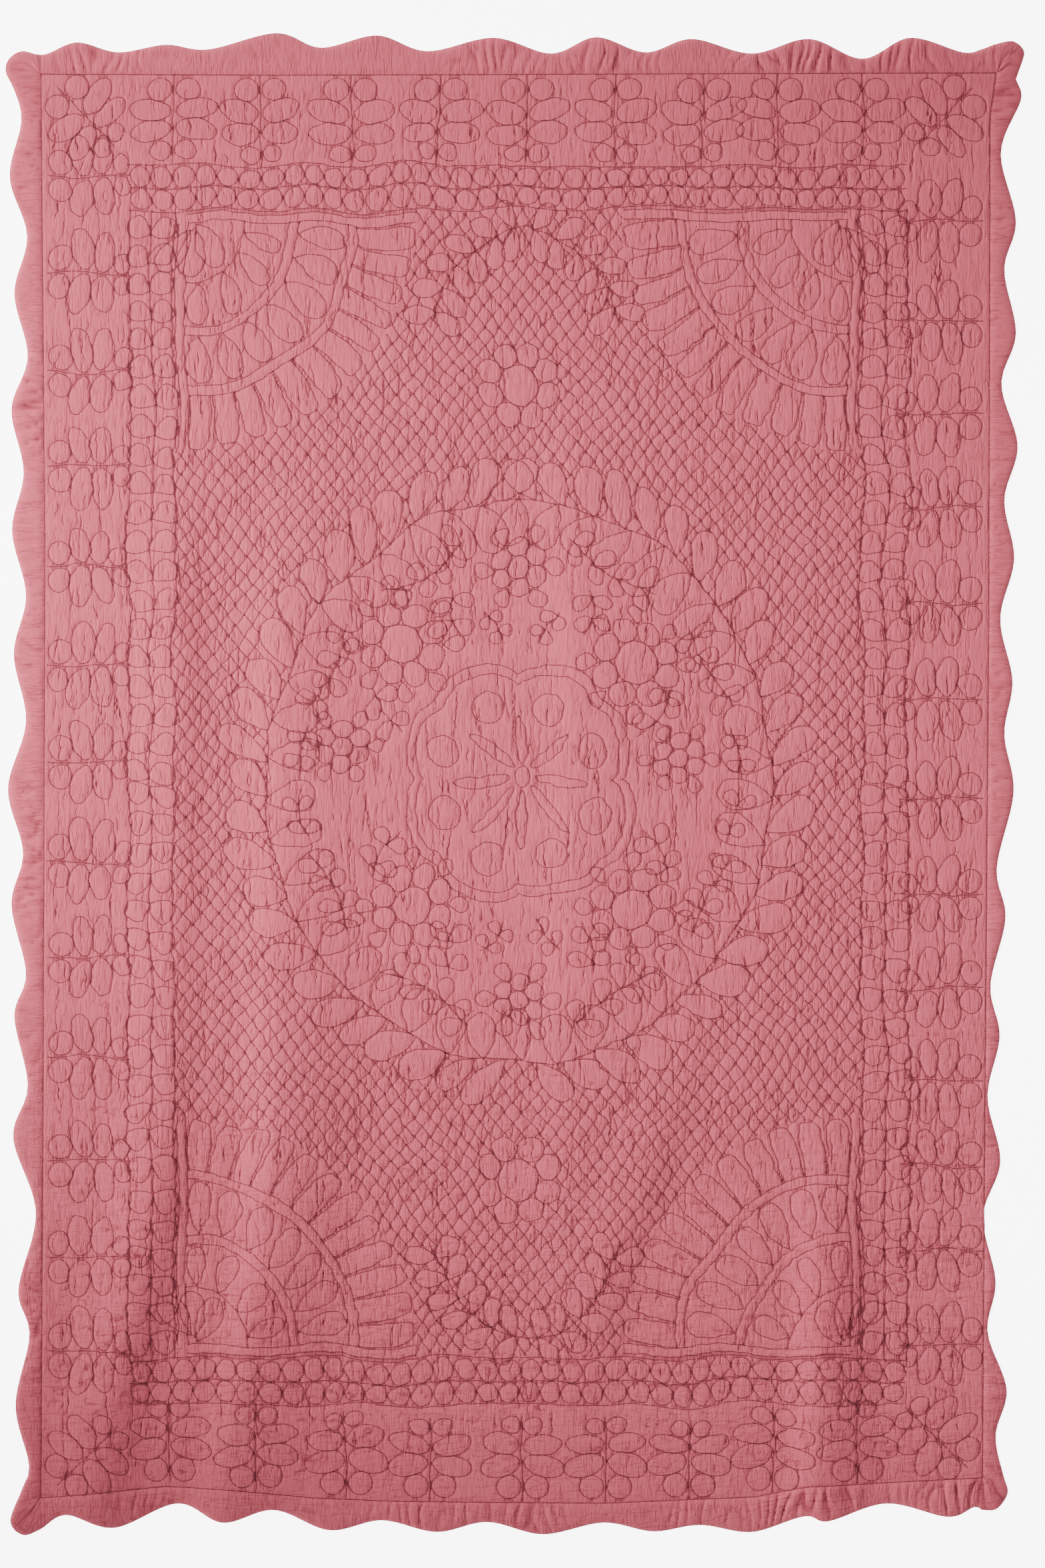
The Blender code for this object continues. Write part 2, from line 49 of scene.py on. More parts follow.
def smooth_path(points, closed=False, step=PLAN_STEP):
    """Curve through the points, sampled about every step."""
    points = np.asarray(points, dtype=complex)
    ring = np.concatenate((points[-1:], points, points[:2])) if closed else np.concatenate(
        (2 * points[:1] - points[1:2], points, 2 * points[-1:] - points[-2:-1]))
    curve = []
    for before, start, end, after in zip(ring, ring[1:], ring[2:], ring[3:]):
        t = np.arange(max(1, round(abs(end - start) / step))) / max(1, round(abs(end - start) / step))
        bend = 2 * before - 5 * start + 4 * end - after
        twist = 3 * start - before - 3 * end + after
        curve.append(0.5 * (2 * start + (end - before) * t + bend * t ** 2 + twist * t ** 3))
    curve.append(points[:1] if closed else points[-1:])
    return np.concatenate(curve)


def sew(line):
    """Adds a line to the plan, with its points evened out to the plan's step."""
    line = np.asarray(line, dtype=complex)
    run = np.concatenate(((0,), np.cumsum(np.abs(np.diff(line)))))
    even = np.linspace(0, run[-1], max(2, round(run[-1] / PLAN_STEP) + 1))
    sewn_lines.append(np.interp(even, run, line.real) + 1j * np.interp(even, run, line.imag))


def turned(angle):
    return np.exp(1j * angle)


def oval(centre, half_along, half_across, turn):
    t = np.linspace(0, 2 * math.pi, 28)
    return centre + turned(turn) * (half_along * np.cos(t) + 1j * half_across * np.sin(t))


def drop(base, length, half_width, turn):
    """Leaf that is pointed at its base and round at its tip."""
    t = np.linspace(0, 2 * math.pi, 40)
    across = half_width * 1.16 * np.sin(t) * np.abs(np.sin(t / 2)) ** 0.75
    return base + turned(turn) * (length * (1 - np.cos(t)) / 2 + 1j * across)


# Hem line, a side at a time, a row a bend: along the side, out from the middle.
HEM_TOP = np.array(((-818, 1224), (-400, 1222), (150, 1224), (830, 1226)), dtype=float)
HEM_BOTTOM = np.array((
    (-818, -1231), (-601, -1211), (-486, -1217), (-348, -1231), (-200, -1237), (151, -1240),
    (415, -1229), (507, -1210), (616, -1206), (806, -1196)), dtype=float)
HEM_LEFT = np.array(((-1231, -818), (-500, -814), (400, -811), (1224, -818)), dtype=float)
HEM_RIGHT = np.array(((-1196, 806), (-600, 810), (300, 817), (1150, 819), (1226, 830)), dtype=float)


def along_rows(rows, place):
    return np.interp(place, rows[:, 0], rows[:, 1])


# Petal sprays of the border, by the side they grow from. The hem isn't straight along the bottom.
SPRAY_Y_TOP = 1218
SPRAY_X_LEFT = -806
SPRAY_X_RIGHT = 806
SPRAY_TOP = (-588, -440, -283, -128, 21, 174, 325, 452, 598)
SPRAY_BOTTOM = (
    (-595, -1203), (-446, -1213), (-291, -1226), (-147, -1231), (13, -1233),
    (156, -1233), (300, -1230), (444, -1219), (590, -1202),
)
SPRAY_RIGHT = (971, 798, 639, 478, 312, 145, -25, -190, -351, -512, -660, -805, -966)
SPRAY_LEFT = (1050, 881, 714, 547, 375, 205, 38, -132, -299, -471, -650, -816, -977)
CORNER_SPRAYS = ((-788, 1200, -45), (790, 1200, -135), (-788, -1207, 45), (780, -1176, 135))
SPRAY_LENGTH = 142
# One side of a spray, a row a petal: along the stem, across, half length along, half across, lean.
SPRAY_PETALS = ((21, 24, 20, 21, 0), (57, 38, 19, 35, 12), (94, 36, 18, 33, -6), (127, 19, 15, 17, -10))


def spray(base, turn):
    sew(base + turned(turn) * np.array((0, SPRAY_LENGTH)))
    for side in (-1, 1):
        for along, across, half_along, half_across, lean in SPRAY_PETALS:
            centre = base + turned(turn) * (along + 1j * side * across)
            sew(oval(centre, half_along, half_across, turn + side * math.radians(lean)))


for x in SPRAY_TOP:
    spray(x + 1j * SPRAY_Y_TOP, -RIGHT_ANGLE)
for x, y in SPRAY_BOTTOM:
    spray(x + 1j * y, RIGHT_ANGLE)
for y in SPRAY_LEFT:
    spray(SPRAY_X_LEFT + 1j * y, 0)
for y in SPRAY_RIGHT:
    spray(SPRAY_X_RIGHT + 1j * y, 2 * RIGHT_ANGLE)
for x, y, degrees in CORNER_SPRAYS:
    spray(x + 1j * y, math.radians(degrees))
border_line_count = len(sewn_lines)

# Laurel band: paired leaves on a stem between two rails, upright on the short sides and slanted on
# the long ones.
LAUREL_LEFT, LAUREL_RIGHT = -627, 638
LAUREL_BOTTOM, LAUREL_TOP = -1029, 1029
LAUREL_HALF_WIDTH = 37
LAUREL_PITCH_SHORT = 37
LAUREL_PITCH_LONG = 50


def laurel_side(start, end, pitch, slant):
    turn = np.angle(end - start)
    count = round(abs(end - start) / pitch)
    step = abs(end - start) / count
    sew((start, end))
    for side in (-1, 1):
        sew(np.array((start, end)) + 1j * side * (LAUREL_HALF_WIDTH + 2) * turned(turn))
        for i in range(count):
            base = start + turned(turn) * (step * (i + 0.5 - 0.35 * slant))
            if slant:
                sew(drop(base, LAUREL_HALF_WIDTH * 1.22, step * 0.42, turn + side * math.radians(62)))
            else:
                centre = base + 1j * side * LAUREL_HALF_WIDTH * 0.5 * turned(turn)
                sew(oval(centre, step * 0.47, LAUREL_HALF_WIDTH * 0.47, turn))


for y in (LAUREL_TOP, LAUREL_BOTTOM):
    laurel_side(LAUREL_LEFT - LAUREL_HALF_WIDTH + 1j * y, LAUREL_RIGHT + LAUREL_HALF_WIDTH + 1j * y,
                LAUREL_PITCH_SHORT, 0)
for x in (LAUREL_LEFT, LAUREL_RIGHT):
    for up in (-1, 1):
        laurel_side(x + 0j, x + 1j * up * (LAUREL_TOP - LAUREL_HALF_WIDTH), LAUREL_PITCH_LONG, 1)

# Corner fans: double rings round the field's corners, leaves between them and petals outside.
FAN_INSET = 60
FAN_RINGS = (104, 178, 194, 284, 300)
FAN_TIP = 392
FAN_PETALS = 12
FAN_LEAVES = 7
FAN_FRAME_GAP = 15
fan_corners = [
    (x + 1j * y, -math.copysign(1, x), -math.copysign(1, y))
    for x in (LAUREL_LEFT + FAN_INSET, LAUREL_RIGHT - FAN_INSET)
    for y in (LAUREL_BOTTOM + FAN_INSET, LAUREL_TOP - FAN_INSET)
]
for corner, sign_x, sign_y in fan_corners:
    def in_corner(radius, share):
        flat = np.asarray(radius) * turned(np.asarray(share) * RIGHT_ANGLE)
        return corner + sign_x * flat.real + 1j * sign_y * flat.imag

    quarter = np.linspace(0, 1, 40)
    for radius in FAN_RINGS:
        sew(in_corner(radius, quarter))
    sew(in_corner((0, FAN_TIP), (0, 0)))
    sew(in_corner((0, FAN_TIP), (1, 1)))
    sew(in_corner((0, FAN_TIP), (0, 0)) - 1j * sign_y * FAN_FRAME_GAP)
    sew(in_corner((0, FAN_TIP), (1, 1)) - sign_x * FAN_FRAME_GAP)
    for i in range(FAN_PETALS):
        s = np.linspace(0, 1, 26)
        bulge = (1 - np.abs(2 * s - 1) ** 5) ** 0.5
        sew(in_corner(FAN_RINGS[-1] + (FAN_TIP - FAN_RINGS[-1]) * bulge, (i + 0.04 + 0.92 * s) / FAN_PETALS))
    for ring, length, count in ((FAN_RINGS[2], 84, FAN_LEAVES), (FAN_RINGS[0], 66, 4), (12, 84, 3)):
        for i in range(count):
            share = (i + 0.5) / count
            base, ahead = in_corner(ring + 3, share), in_corner(ring + 40, share + 14 / ring / count)
            sew(drop(base, length, length * 0.27, np.angle(ahead - base)))

# Medallion: an oval feather wreath round flowers, sprigs and an eight-lobed frame.
MEDALLION = 8 + 4j
WREATH_RX, WREATH_RY = 436, 484
# A row a side of the stem: outward or inward, leaves, length, half width, lean along the stem.
WREATH_SIDES = ((1, 52, 92, 26, 40), (-1, 42, 88, 28, 12))
motif_outlines = []
rng = np.random.default_rng(5)
t = np.linspace(0, 2 * math.pi, 400)
wreath_stem = MEDALLION + WREATH_RX * np.cos(t) + 1j * WREATH_RY * np.sin(t)
sew(wreath_stem)
for side, count, length, half_width, lean in WREATH_SIDES:
    for i in range(count):
        angle = (i + 0.5) / count * 2 * math.pi
        base = MEDALLION + WREATH_RX * math.cos(angle) + 1j * WREATH_RY * math.sin(angle)
        out = side * (math.cos(angle) / WREATH_RX + 1j * math.sin(angle) / WREATH_RY)
        upward = side * math.copysign(1, math.cos(angle))
        turn = np.angle(out) + upward * math.radians(lean + rng.normal(0, 4))
        leaf = drop(base, length * rng.uniform(0.88, 1.08), half_width * rng.uniform(0.9, 1.05), turn)
        sew(leaf)
        motif_outlines.append(leaf)

# Frame of eight lobes as a double line, a ring in each lobe and lens spokes from the middle.
FRAME_NOTCH, FRAME_LOBE = 184, 218
FRAME_SHOULDER = 13
FRAME_GAP = 17
RING_REACH, RING_RADII = 139, (27, 30)
SPOKE = (22, 116, 9)
shoulder = FRAME_SHOULDER * np.abs(np.sin(2 * t)) ** 30
frame_radius = FRAME_NOTCH + (FRAME_LOBE - FRAME_NOTCH) * np.abs(np.sin(2 * t)) ** 0.6 - shoulder
for inset in (0, FRAME_GAP):
    sew(MEDALLION + (frame_radius - 5 * np.cos(2 * t) - inset) * turned(t))
for i in range(8):
    spoke, between = i * RIGHT_ANGLE / 2, (i + 0.5) * RIGHT_ANGLE / 2
    sew(oval(MEDALLION + RING_REACH * turned(between), *RING_RADII, 0))
    spoke_middle = MEDALLION + (SPOKE[0] + SPOKE[1]) / 2 * turned(spoke)
    sew(oval(spoke_middle, (SPOKE[1] - SPOKE[0]) / 2, SPOKE[2], spoke))
sew(oval(MEDALLION, 13, 18, 0))

# Flowers, a row a flower: place, core radius, petal radius, petals, length of the leaves outside.
FLOWERS = (
    (-192 + 239j, 35, 20, 8, 34), (207 + 208j, 35, 20, 8, 34), (-179 - 209j, 35, 20, 8, 34),
    (205 - 215j, 35, 20, 8, 34), (5 + 690j, 36, 20, 8, 0), (5 - 682j, 36, 20, 8, 0),
    (-300 + 67j, 17, 15, 6, 30), (284 + 41j, 17, 15, 6, 30),
    (8 + 372j, 17, 15, 6, 36), (8 - 372j, 17, 15, 6, 36),
)
for centre, core, petal, count, outer in FLOWERS:
    sew(oval(centre, core, core, 0))
    motif_outlines.append(oval(centre, core + petal, core + petal, 0))
    for i in range(count):
        turn = 2 * math.pi * (i + 0.5) / count
        across = (core + petal) * math.sin(math.pi / count) * 1.02
        shape = oval(centre + (core + petal) * turned(turn), petal * 1.04, across, turn)
        sew(shape)
        motif_outlines.append(shape)
        if outer:
            between = turn + math.pi / count
            sew(drop(centre + (core + 2 * petal - 8) * turned(between), outer, outer * 0.42, between))

# Sprigs between the flowers, a row a sprig in one quarter, from the medallion's middle: start, end,
# bend, pairs of leaves, leaf length, leaf half width.
SPRIGS = (
    (92 + 418j, 236 + 330j, -16, 4, 40, 15),
    (296 + 268j, 366 + 128j, -12, 4, 38, 14), (364 + 96j, 380 + 10j, 6, 2, 30, 12),
    (122 + 330j, 108 + 246j, 10, 2, 40, 15), (256 + 158j, 206 + 84j, 10, 2, 36, 14),
    (66 + 290j, 30 + 240j, -6, 2, 26, 11),
)
for start, end, bend, pairs, length, half_width in SPRIGS:
    for sign_x in (-1, 1):
        for sign_y in (-1, 1):
            a, b = (MEDALLION + sign_x * p.real + 1j * sign_y * p.imag for p in (start, end))
            bow = 1j * sign_x * sign_y * bend * (b - a) / abs(b - a)
            stem = smooth_path((a, (a + b) / 2 + bow, b))
            sew(stem)
            for i in range(pairs):
                at = stem[int((i + 0.3) / pairs * (len(stem) - 1))]
                for side in (-1, 1):
                    leaf_turn = np.angle(b - a) + side * math.radians(58 + rng.normal(0, 6))
                    sew(drop(at, length * rng.uniform(0.85, 1.1), half_width, leaf_turn))

# Leaf garlands at the middle of the field's short sides.
SWAG_MIDDLE = 18
SWAG_STEM = np.array((18 + 958j, 70 + 944j, 122 + 904j, 158 + 852j, 182 + 792j))
SWAG_LEAVES = 6
SWAG_LEAF = (54, 17)
for up in (-1, 1):
    for side in (-1, 1):
        stem = smooth_path(SWAG_MIDDLE + side * (SWAG_STEM.real - SWAG_MIDDLE) + 1j * up * SWAG_STEM.imag)
        sew(stem)
        for i in range(SWAG_LEAVES):
            k = int((i + 0.5) / SWAG_LEAVES * (len(stem) - 2))
            turn = np.angle(stem[k + 1] - stem[k])
            for lean in (-1, 1):
                leaf = drop(stem[k], *SWAG_LEAF, turn + lean * math.radians(66))
                sew(leaf)
                motif_outlines.append(leaf)

# Crosshatch on the rest of the field, in one-inch rows that the washing has drawn in sideways.
HATCH_WIDTH, HATCH_HEIGHT = 26.6, 34.5
HATCH_STEP = 3.0
HATCH_SHORTEST = 3


def within(outline, x, y):
    """True inside a closed outline."""
    inside = np.zeros(x.shape, dtype=bool)
    for a, b in zip(outline, np.roll(outline, -1)):
        if a.imag != b.imag:
            beside = x < a.real + (y - a.imag) * (b.real - a.real) / (b.imag - a.imag)
            inside ^= ((a.imag > y) != (b.imag > y)) & beside
    return inside


def on_ground(x, y):
    """True on the crosshatched ground, clear of the other motifs."""
    w = LAUREL_HALF_WIDTH + 5
    clear = (x > LAUREL_LEFT + w) & (x < LAUREL_RIGHT - w) & (y > LAUREL_BOTTOM + w) & (y < LAUREL_TOP - w)
    clear &= ~within(wreath_stem, x, y)
    for corner, sign_x, sign_y in fan_corners:
        across, up = sign_x * (x - corner.real), sign_y * (y - corner.imag)
        clear &= (np.hypot(across, up) > FAN_TIP + 2) | (across < -FAN_FRAME_GAP) | (up < -FAN_FRAME_GAP)
        clear &= (across > 0) | (up > 0)
    for outline in motif_outlines:
        centre, span = outline.mean(), np.abs(outline - outline.mean()).max()
        near = clear & (np.abs(x - centre.real) < span) & (np.abs(y - centre.imag) < span)
        clear[near] = ~within(outline, x[near], y[near])
    return clear


line_count = int(1700 / HATCH_WIDTH)
ends = np.arange(-line_count, line_count + 1)
for slope in (-1, 1):
    y, n = np.meshgrid(np.arange(-1000, 1000, HATCH_STEP), ends)
    x = (n + slope * y / HATCH_HEIGHT) * HATCH_WIDTH
    kept = on_ground(x, y)
    for row_x, row_y, row in zip(x, y, kept):
        edges = np.flatnonzero(np.diff(np.concatenate(((0,), row.astype(int), (0,)))))
        for first, last in zip(edges[::2], edges[1::2]):
            if last - first > HATCH_SHORTEST:
                sew(row_x[first:last] + 1j * row_y[first:last])


def waves(x, y, length_x, length_y, seed, spread=0.25, count=40):
    """Even ripples about length_x apart, which wander over about length_y."""
    rng = np.random.default_rng(seed)
    total = np.zeros(np.shape(x))
    for _ in range(count):
        across = 2 * math.pi / length_x * rng.normal(1, spread)
        along = 2 * math.pi / length_y * rng.normal(0, 1)
        total += np.cos(across * x + along * y + rng.uniform(0, 2 * math.pi))
    return total * math.sqrt(2 / count)


def drift(x, y, size, seed, count=24):
    """Soft random hills about size across."""
    rng = np.random.default_rng(seed)
    total = np.zeros(np.shape(x))
    for _ in range(count):
        turn, pitch = rng.uniform(0, 2 * math.pi), 2 * math.pi / size * rng.uniform(0.5, 1.2)
        total += np.cos(pitch * (x * math.cos(turn) + y * math.sin(turn)) + rng.uniform(0, 2 * math.pi))
    return total * math.sqrt(2 / count)


# Washing has pulled the sewn lines about: by a few millimetres over a hand's width, and a little
# between one crinkle and the next.
PULL_WIDE, PULL_NEAR = 3.2, 0.9
SEWN_LEFT, SEWN_RIGHT, SEWN_BOTTOM, SEWN_TOP = -812, 808, -1200, 1218
HELD_MARGIN = 60


def pulled(line):
    """The line as washing left it. It moves less and less towards the hem, which holds it."""
    x, y = line.real, line.imag
    room = np.minimum.reduce((x - SEWN_LEFT, SEWN_RIGHT - x, y - SEWN_BOTTOM, SEWN_TOP - y))
    hold = np.clip(room / HELD_MARGIN, 0, 1)
    move_x = PULL_WIDE * drift(x, y, 170, 11) + PULL_NEAR * drift(x, y, 24, 12)
    move_y = PULL_WIDE * drift(x, y, 170, 13) + PULL_NEAR * 0.7 * drift(x, y, 24, 14)
    return line + hold * (move_x + 1j * move_y)


sewn_lines = [pulled(line) for line in sewn_lines]
hem_loop = np.concatenate((
    HEM_TOP[:, 0] + 1j * HEM_TOP[:, 1], (HEM_RIGHT[:, 1] + 1j * HEM_RIGHT[:, 0])[::-1],
    (HEM_BOTTOM[:, 0] + 1j * HEM_BOTTOM[:, 1])[::-1], HEM_LEFT[:, 1] + 1j * HEM_LEFT[:, 0]))
sew(np.append(hem_loop, hem_loop[0]))
hem_line = sewn_lines[-1]

# Creases that washing pressed into the cloth. The filling has drawn in sideways, so most are
# upright, and a seam that runs upright is pressed deeper too. Some run across in the lower third.
CREASE_COUNT, LOW_CREASE_COUNT = 6400, 1300
CREASE_SIDE, CREASE_BOTTOM, CREASE_TOP = 800, -1215, 1210
LOW_CREASE_TOP = -480
HEM_LOWEST = -1190
rng = np.random.default_rng(21)
creases = []
crease_depths = []
for i in range(CREASE_COUNT + LOW_CREASE_COUNT):
    highest = CREASE_TOP if i < CREASE_COUNT else LOW_CREASE_TOP
    x, y = rng.uniform(-CREASE_SIDE, CREASE_SIDE), rng.uniform(CREASE_BOTTOM, highest)
    low = np.clip((-y - 250) / 700, 0, 1)
    level = rng.uniform() < 0.6 * low
    length = rng.uniform(12, 34) if level else min(120, 14 + rng.exponential(34)) * (1 - 0.3 * low)
    heading = rng.normal(0 if level else RIGHT_ANGLE, 0.09)
    run = np.linspace(-0.5, 0.5, max(4, round(length / PLAN_STEP)))
    wander = waves(run * length, 0, 26, 60, rng.integers(1 << 30), count=5) * 1.0
    line = x + 1j * y + turned(heading) * (run * length + 1j * wander)
    in_height = line.imag.max() < CREASE_TOP and line.imag.min() > HEM_LOWEST
    if np.abs(line.real).max() < CREASE_SIDE and in_height:
        creases.append(line)
        strength = rng.uniform(0.2, 0.6) if level else rng.uniform(0.25, 1.05) ** 1.3
        crease_depths.append(strength * (1 - (2 * np.abs(run)) ** 3))


def tree_of(lines):
    """Search tree of every point of the lines, with the points in one array."""
    points = np.concatenate(lines)
    tree = kdtree.KDTree(len(points))
    for index, point in enumerate(points):
        tree.insert((point.real, point.imag, 0), index)
    tree.balance()
    return tree, points


seam_tree, seam_points = tree_of(sewn_lines)
crease_tree, crease_points = tree_of(creases)
crease_strengths = np.concatenate(crease_depths)
headings = [np.gradient(line) for line in sewn_lines]
seam_upright = np.concatenate([(h.imag / np.maximum(np.abs(h), 1e-9)) ** 2 for h in headings])
HEM_SHARE = 0.15
seam_upright[-len(hem_line):] *= HEM_SHARE


def nearest(tree, x, y):
    """Index of the nearest point and how far it is, for each place."""
    found = [tree.find((a, b, 0))[1:] for a, b in zip(x.ravel().tolist(), y.ravel().tolist())]
    index, gap = np.array(found).T
    return index.astype(int).reshape(x.shape), gap.reshape(x.shape)


# Soft folds of the laid cloth, a row a station: fold, y, x of the crest, lift, half width to the
# left, half width to the right.
FOLDS = (
    ("left", 560, -384, 0, 80, 150), ("left", 250, -394, 7, 95, 170), ("left", -90, -398, 7, 95, 170),
    ("left", -370, -404, 9, 86, 170), ("left", -600, -410, 13, 80, 170), ("left", -830, -430, 13, 76, 170),
    ("left", -1010, -458, 8, 75, 160), ("left", -1150, -487, 7, 72, 140), ("left", -1300, -510, 6, 70, 130),
    ("edge", 540, -590, 0, 95, 75), ("edge", 320, -584, 7, 100, 66), ("edge", 0, -586, 6, 100, 68),
    ("edge", -260, -596, 5, 100, 75), ("edge", -490, -606, 7, 100, 75), ("edge", -720, -626, 10, 105, 78),
    ("edge", -940, -670, 11, 105, 85), ("edge", -1120, -712, 9, 100, 90), ("edge", -1300, -736, 7, 100, 90),
    ("middle", 690, 112, 0, 95, 200), ("middle", 540, 116, 4, 95, 240), ("middle", 190, 120, 5, 95, 260),
    ("middle", -90, 116, 5, 95, 260), ("middle", -380, 104, 4, 95, 240), ("middle", -720, 96, 3, 95, 200),
    ("middle", -920, 96, 0, 95, 160),
    ("slant", -370, 296, 0, 150, 75), ("slant", -500, 272, 4, 160, 78), ("slant", -660, 222, 5, 160, 78),
    ("slant", -850, 150, 5, 160, 78), ("slant", -1030, 112, 3, 150, 75), ("slant", -1180, 100, 0, 140, 75),
    ("right", -560, 528, 0, 70, 90), ("right", -720, 532, 6, 70, 95), ("right", -890, 532, 10, 70, 100),
    ("right", -1060, 528, 11, 70, 110), ("right", -1180, 524, 10, 70, 120), ("right", -1300, 520, 8, 70, 120),
)


def fold_lift(x, y):
    """Height that the folds raise the cloth off the surface."""
    lift = np.zeros(np.shape(x))
    for name in sorted({row[0] for row in FOLDS}):
        rows = np.array([row[1:] for row in FOLDS if row[0] == name][::-1], dtype=float)
        crest, height, left, right = (np.interp(y, rows[:, 0], rows[:, k]) for k in (1, 2, 3, 4))
        share = np.clip(1 - np.abs(x - crest) / np.where(x < crest, left, right), 0, 1)
        height = np.where((y < rows[0, 0]) | (y > rows[-1, 0]), 0, height)
        lift = np.maximum(lift, height * share * share * (3 - 2 * share))
    return lift


# Relief of the quilted cloth above a seam, in millimetres.
SEAM_LEVEL = 2.8
PAD_RISE, PAD_REACH = 0.48, 1.1
CROWN_RISE, CROWN_REACH = 0.75, 26
NOTCH_DEPTH, NOTCH_REACH = 0.5, 1.0
RIPPLE_DEPTH = 0.28
RIPPLE_PITCH, RIPPLE_RUN = 24, 110
CREASE_DEPTH, CREASE_REACH = 0.8, 1.0
# Painted shade on the sewn lines: a base amount, and more where a seam runs upright, across the light that
# rakes from the left.
PAINTED_SEAM_SHADE = (0.37, 0.42)


def relief(x, y, seam_gap, seam_up, crease_gap, crease_strength, upright, level):
    """Height of the face, and how much shade is painted on its seams, on its creases and on the cloth beside
    them.

    upright and level say how much it ripples in each direction.
    """
    pad = PAD_RISE * (1 - np.exp(-seam_gap / PAD_REACH)) + CROWN_RISE * (1 - np.exp(-seam_gap / CROWN_REACH))
    notch = NOTCH_DEPTH * seam_up * np.exp(-seam_gap / NOTCH_REACH)
    free = 1 - np.exp(-seam_gap / 2.5)
    patches = np.clip(0.8 + 0.35 * drift(x, y, 120, 31), 0.3, 1.5)
    ridges = np.minimum(np.abs(waves(x, y, RIPPLE_PITCH, RIPPLE_RUN, 32)), 1.3) ** 0.8
    rungs = np.minimum(np.abs(waves(y, x, RIPPLE_PITCH * 1.1, RIPPLE_RUN * 0.6, 33)), 1.3) ** 0.8
    ripple = RIPPLE_DEPTH * free * patches * (upright * (ridges - 0.8) + level * (rungs - 0.8))
    furrow = CREASE_DEPTH * crease_strength * np.exp(-crease_gap / CREASE_REACH) * (0.3 + 0.7 * free)
    height = SEAM_LEVEL + pad + ripple - notch - furrow + fold_lift(x, y)
    # Shade painted into the colour: on each seam (more on upright ones), on each crease, and on the cloth
    # beside them.
    soft_shade = 0.1 * seam_up * np.exp(-seam_gap / 1.2) + 0.12 * crease_strength * np.exp(-crease_gap / 1.2)
    crease_painted_shade = crease_strength * (0.25 + 0.65 * free)
    return height, np.stack((PAINTED_SEAM_SHADE[0] + PAINTED_SEAM_SHADE[1] * seam_up, crease_painted_shade, soft_shade), -1)


# Face cloth, sewn area.
# One layer of washed cotton inside the hem line, puffed between the sewn lines and crinkled. It is
# a grid whose points are drawn onto the sewn lines and creases, in four panels.
FACE_COLUMNS, FACE_ROWS = 740, 448
FACE_PANELS = 4
u, v = np.meshgrid(np.linspace(0, 1, FACE_COLUMNS + 1), np.linspace(0, 1, FACE_ROWS + 1))
side_y = HEM_LEFT[0, 0] + (HEM_LEFT[-1, 0] - HEM_LEFT[0, 0]) * v
right_y = HEM_RIGHT[0, 0] + (HEM_RIGHT[-1, 0] - HEM_RIGHT[0, 0]) * v
low_x = HEM_BOTTOM[0, 0] + (HEM_BOTTOM[-1, 0] - HEM_BOTTOM[0, 0]) * u
high_x = HEM_TOP[0, 0] + (HEM_TOP[-1, 0] - HEM_TOP[0, 0]) * u
face_x = (1 - u) * along_rows(HEM_LEFT, side_y) + u * along_rows(HEM_RIGHT, right_y)
face_y = (1 - v) * along_rows(HEM_BOTTOM, low_x) + v * along_rows(HEM_TOP, high_x)
hem_x, hem_y = face_x.copy(), face_y.copy()
cell_x, cell_y = 1630 / FACE_COLUMNS, 2440 / FACE_ROWS

seam_index, seam_gap = nearest(seam_tree, face_x, face_y)
crease_index, crease_gap = nearest(crease_tree, face_x, face_y)
pinned = np.zeros(face_x.shape, dtype=bool)
for points, index in ((crease_points, crease_index), (seam_points, seam_index)):
    to_x, to_y = points[index].real - hem_x, points[index].imag - hem_y
    close = (np.abs(to_x) < 0.5 * cell_x) & (np.abs(to_y) < 0.5 * cell_y)
    close[[0, -1], :] = close[:, [0, -1]] = False
    face_x[close] = hem_x[close] + to_x[close]
    face_y[close] = hem_y[close] + to_y[close]
    if points is seam_points:
        seam_gap[close] = 0
    else:
        crease_gap[close] = 0
    pinned |= close
seam_gap[[0, -1], :] = seam_gap[:, [0, -1]] = 0
pinned[[0, -1], :] = pinned[:, [0, -1]] = True
low_share = np.clip((-face_y - 150) / 800, 0, 1)
face_z, face_painted_shade = relief(face_x, face_y, seam_gap, seam_upright[seam_index], crease_gap,
                            crease_strengths[crease_index], 1 - 0.3 * low_share, 0.12 + 0.75 * low_share)


def grid_triangles(height, pins, shape):
    """Two triangles a cell, split along sewn lines where one runs through, else along the valley."""
    numbers = np.arange(shape[0] * shape[1]).reshape(shape)
    a, b, c, d = numbers[:-1, :-1], numbers[:-1, 1:], numbers[1:, 1:], numbers[1:, :-1]
    flat_pins, flat_height = pins.ravel(), height.ravel()
    one, other = flat_pins[a] & flat_pins[c], flat_pins[b] & flat_pins[d]
    lower = flat_height[a] + flat_height[c] < flat_height[b] + flat_height[d]
    split = np.where(one == other, lower, one)
    first = np.where(split[..., None], np.stack((a, b, c), -1), np.stack((a, b, d), -1))
    second = np.where(split[..., None], np.stack((a, c, d), -1), np.stack((b, c, d), -1))
    return np.stack((first, second), 2)


def with_area(places, triangles):
    """The triangles without those whose corners have run together."""
    corner = places[triangles]
    facing = np.cross(corner[:, 1] - corner[:, 0], corner[:, 2] - corner[:, 0])
    return triangles[np.linalg.norm(facing, axis=1) > 1e-9]


def point_normals(places, triangles):
    """Mean facing of the triangles round each point, the larger ones counting more."""
    corner = places[triangles]
    facing = np.cross(corner[:, 1] - corner[:, 0], corner[:, 2] - corner[:, 0])
    normals = np.zeros(places.shape)
    for k in range(3):
        for axis in range(3):
            normals[:, axis] += np.bincount(triangles[:, k], facing[:, axis], len(places))
    return normals / np.maximum(np.linalg.norm(normals, axis=1, keepdims=True), 1e-12)


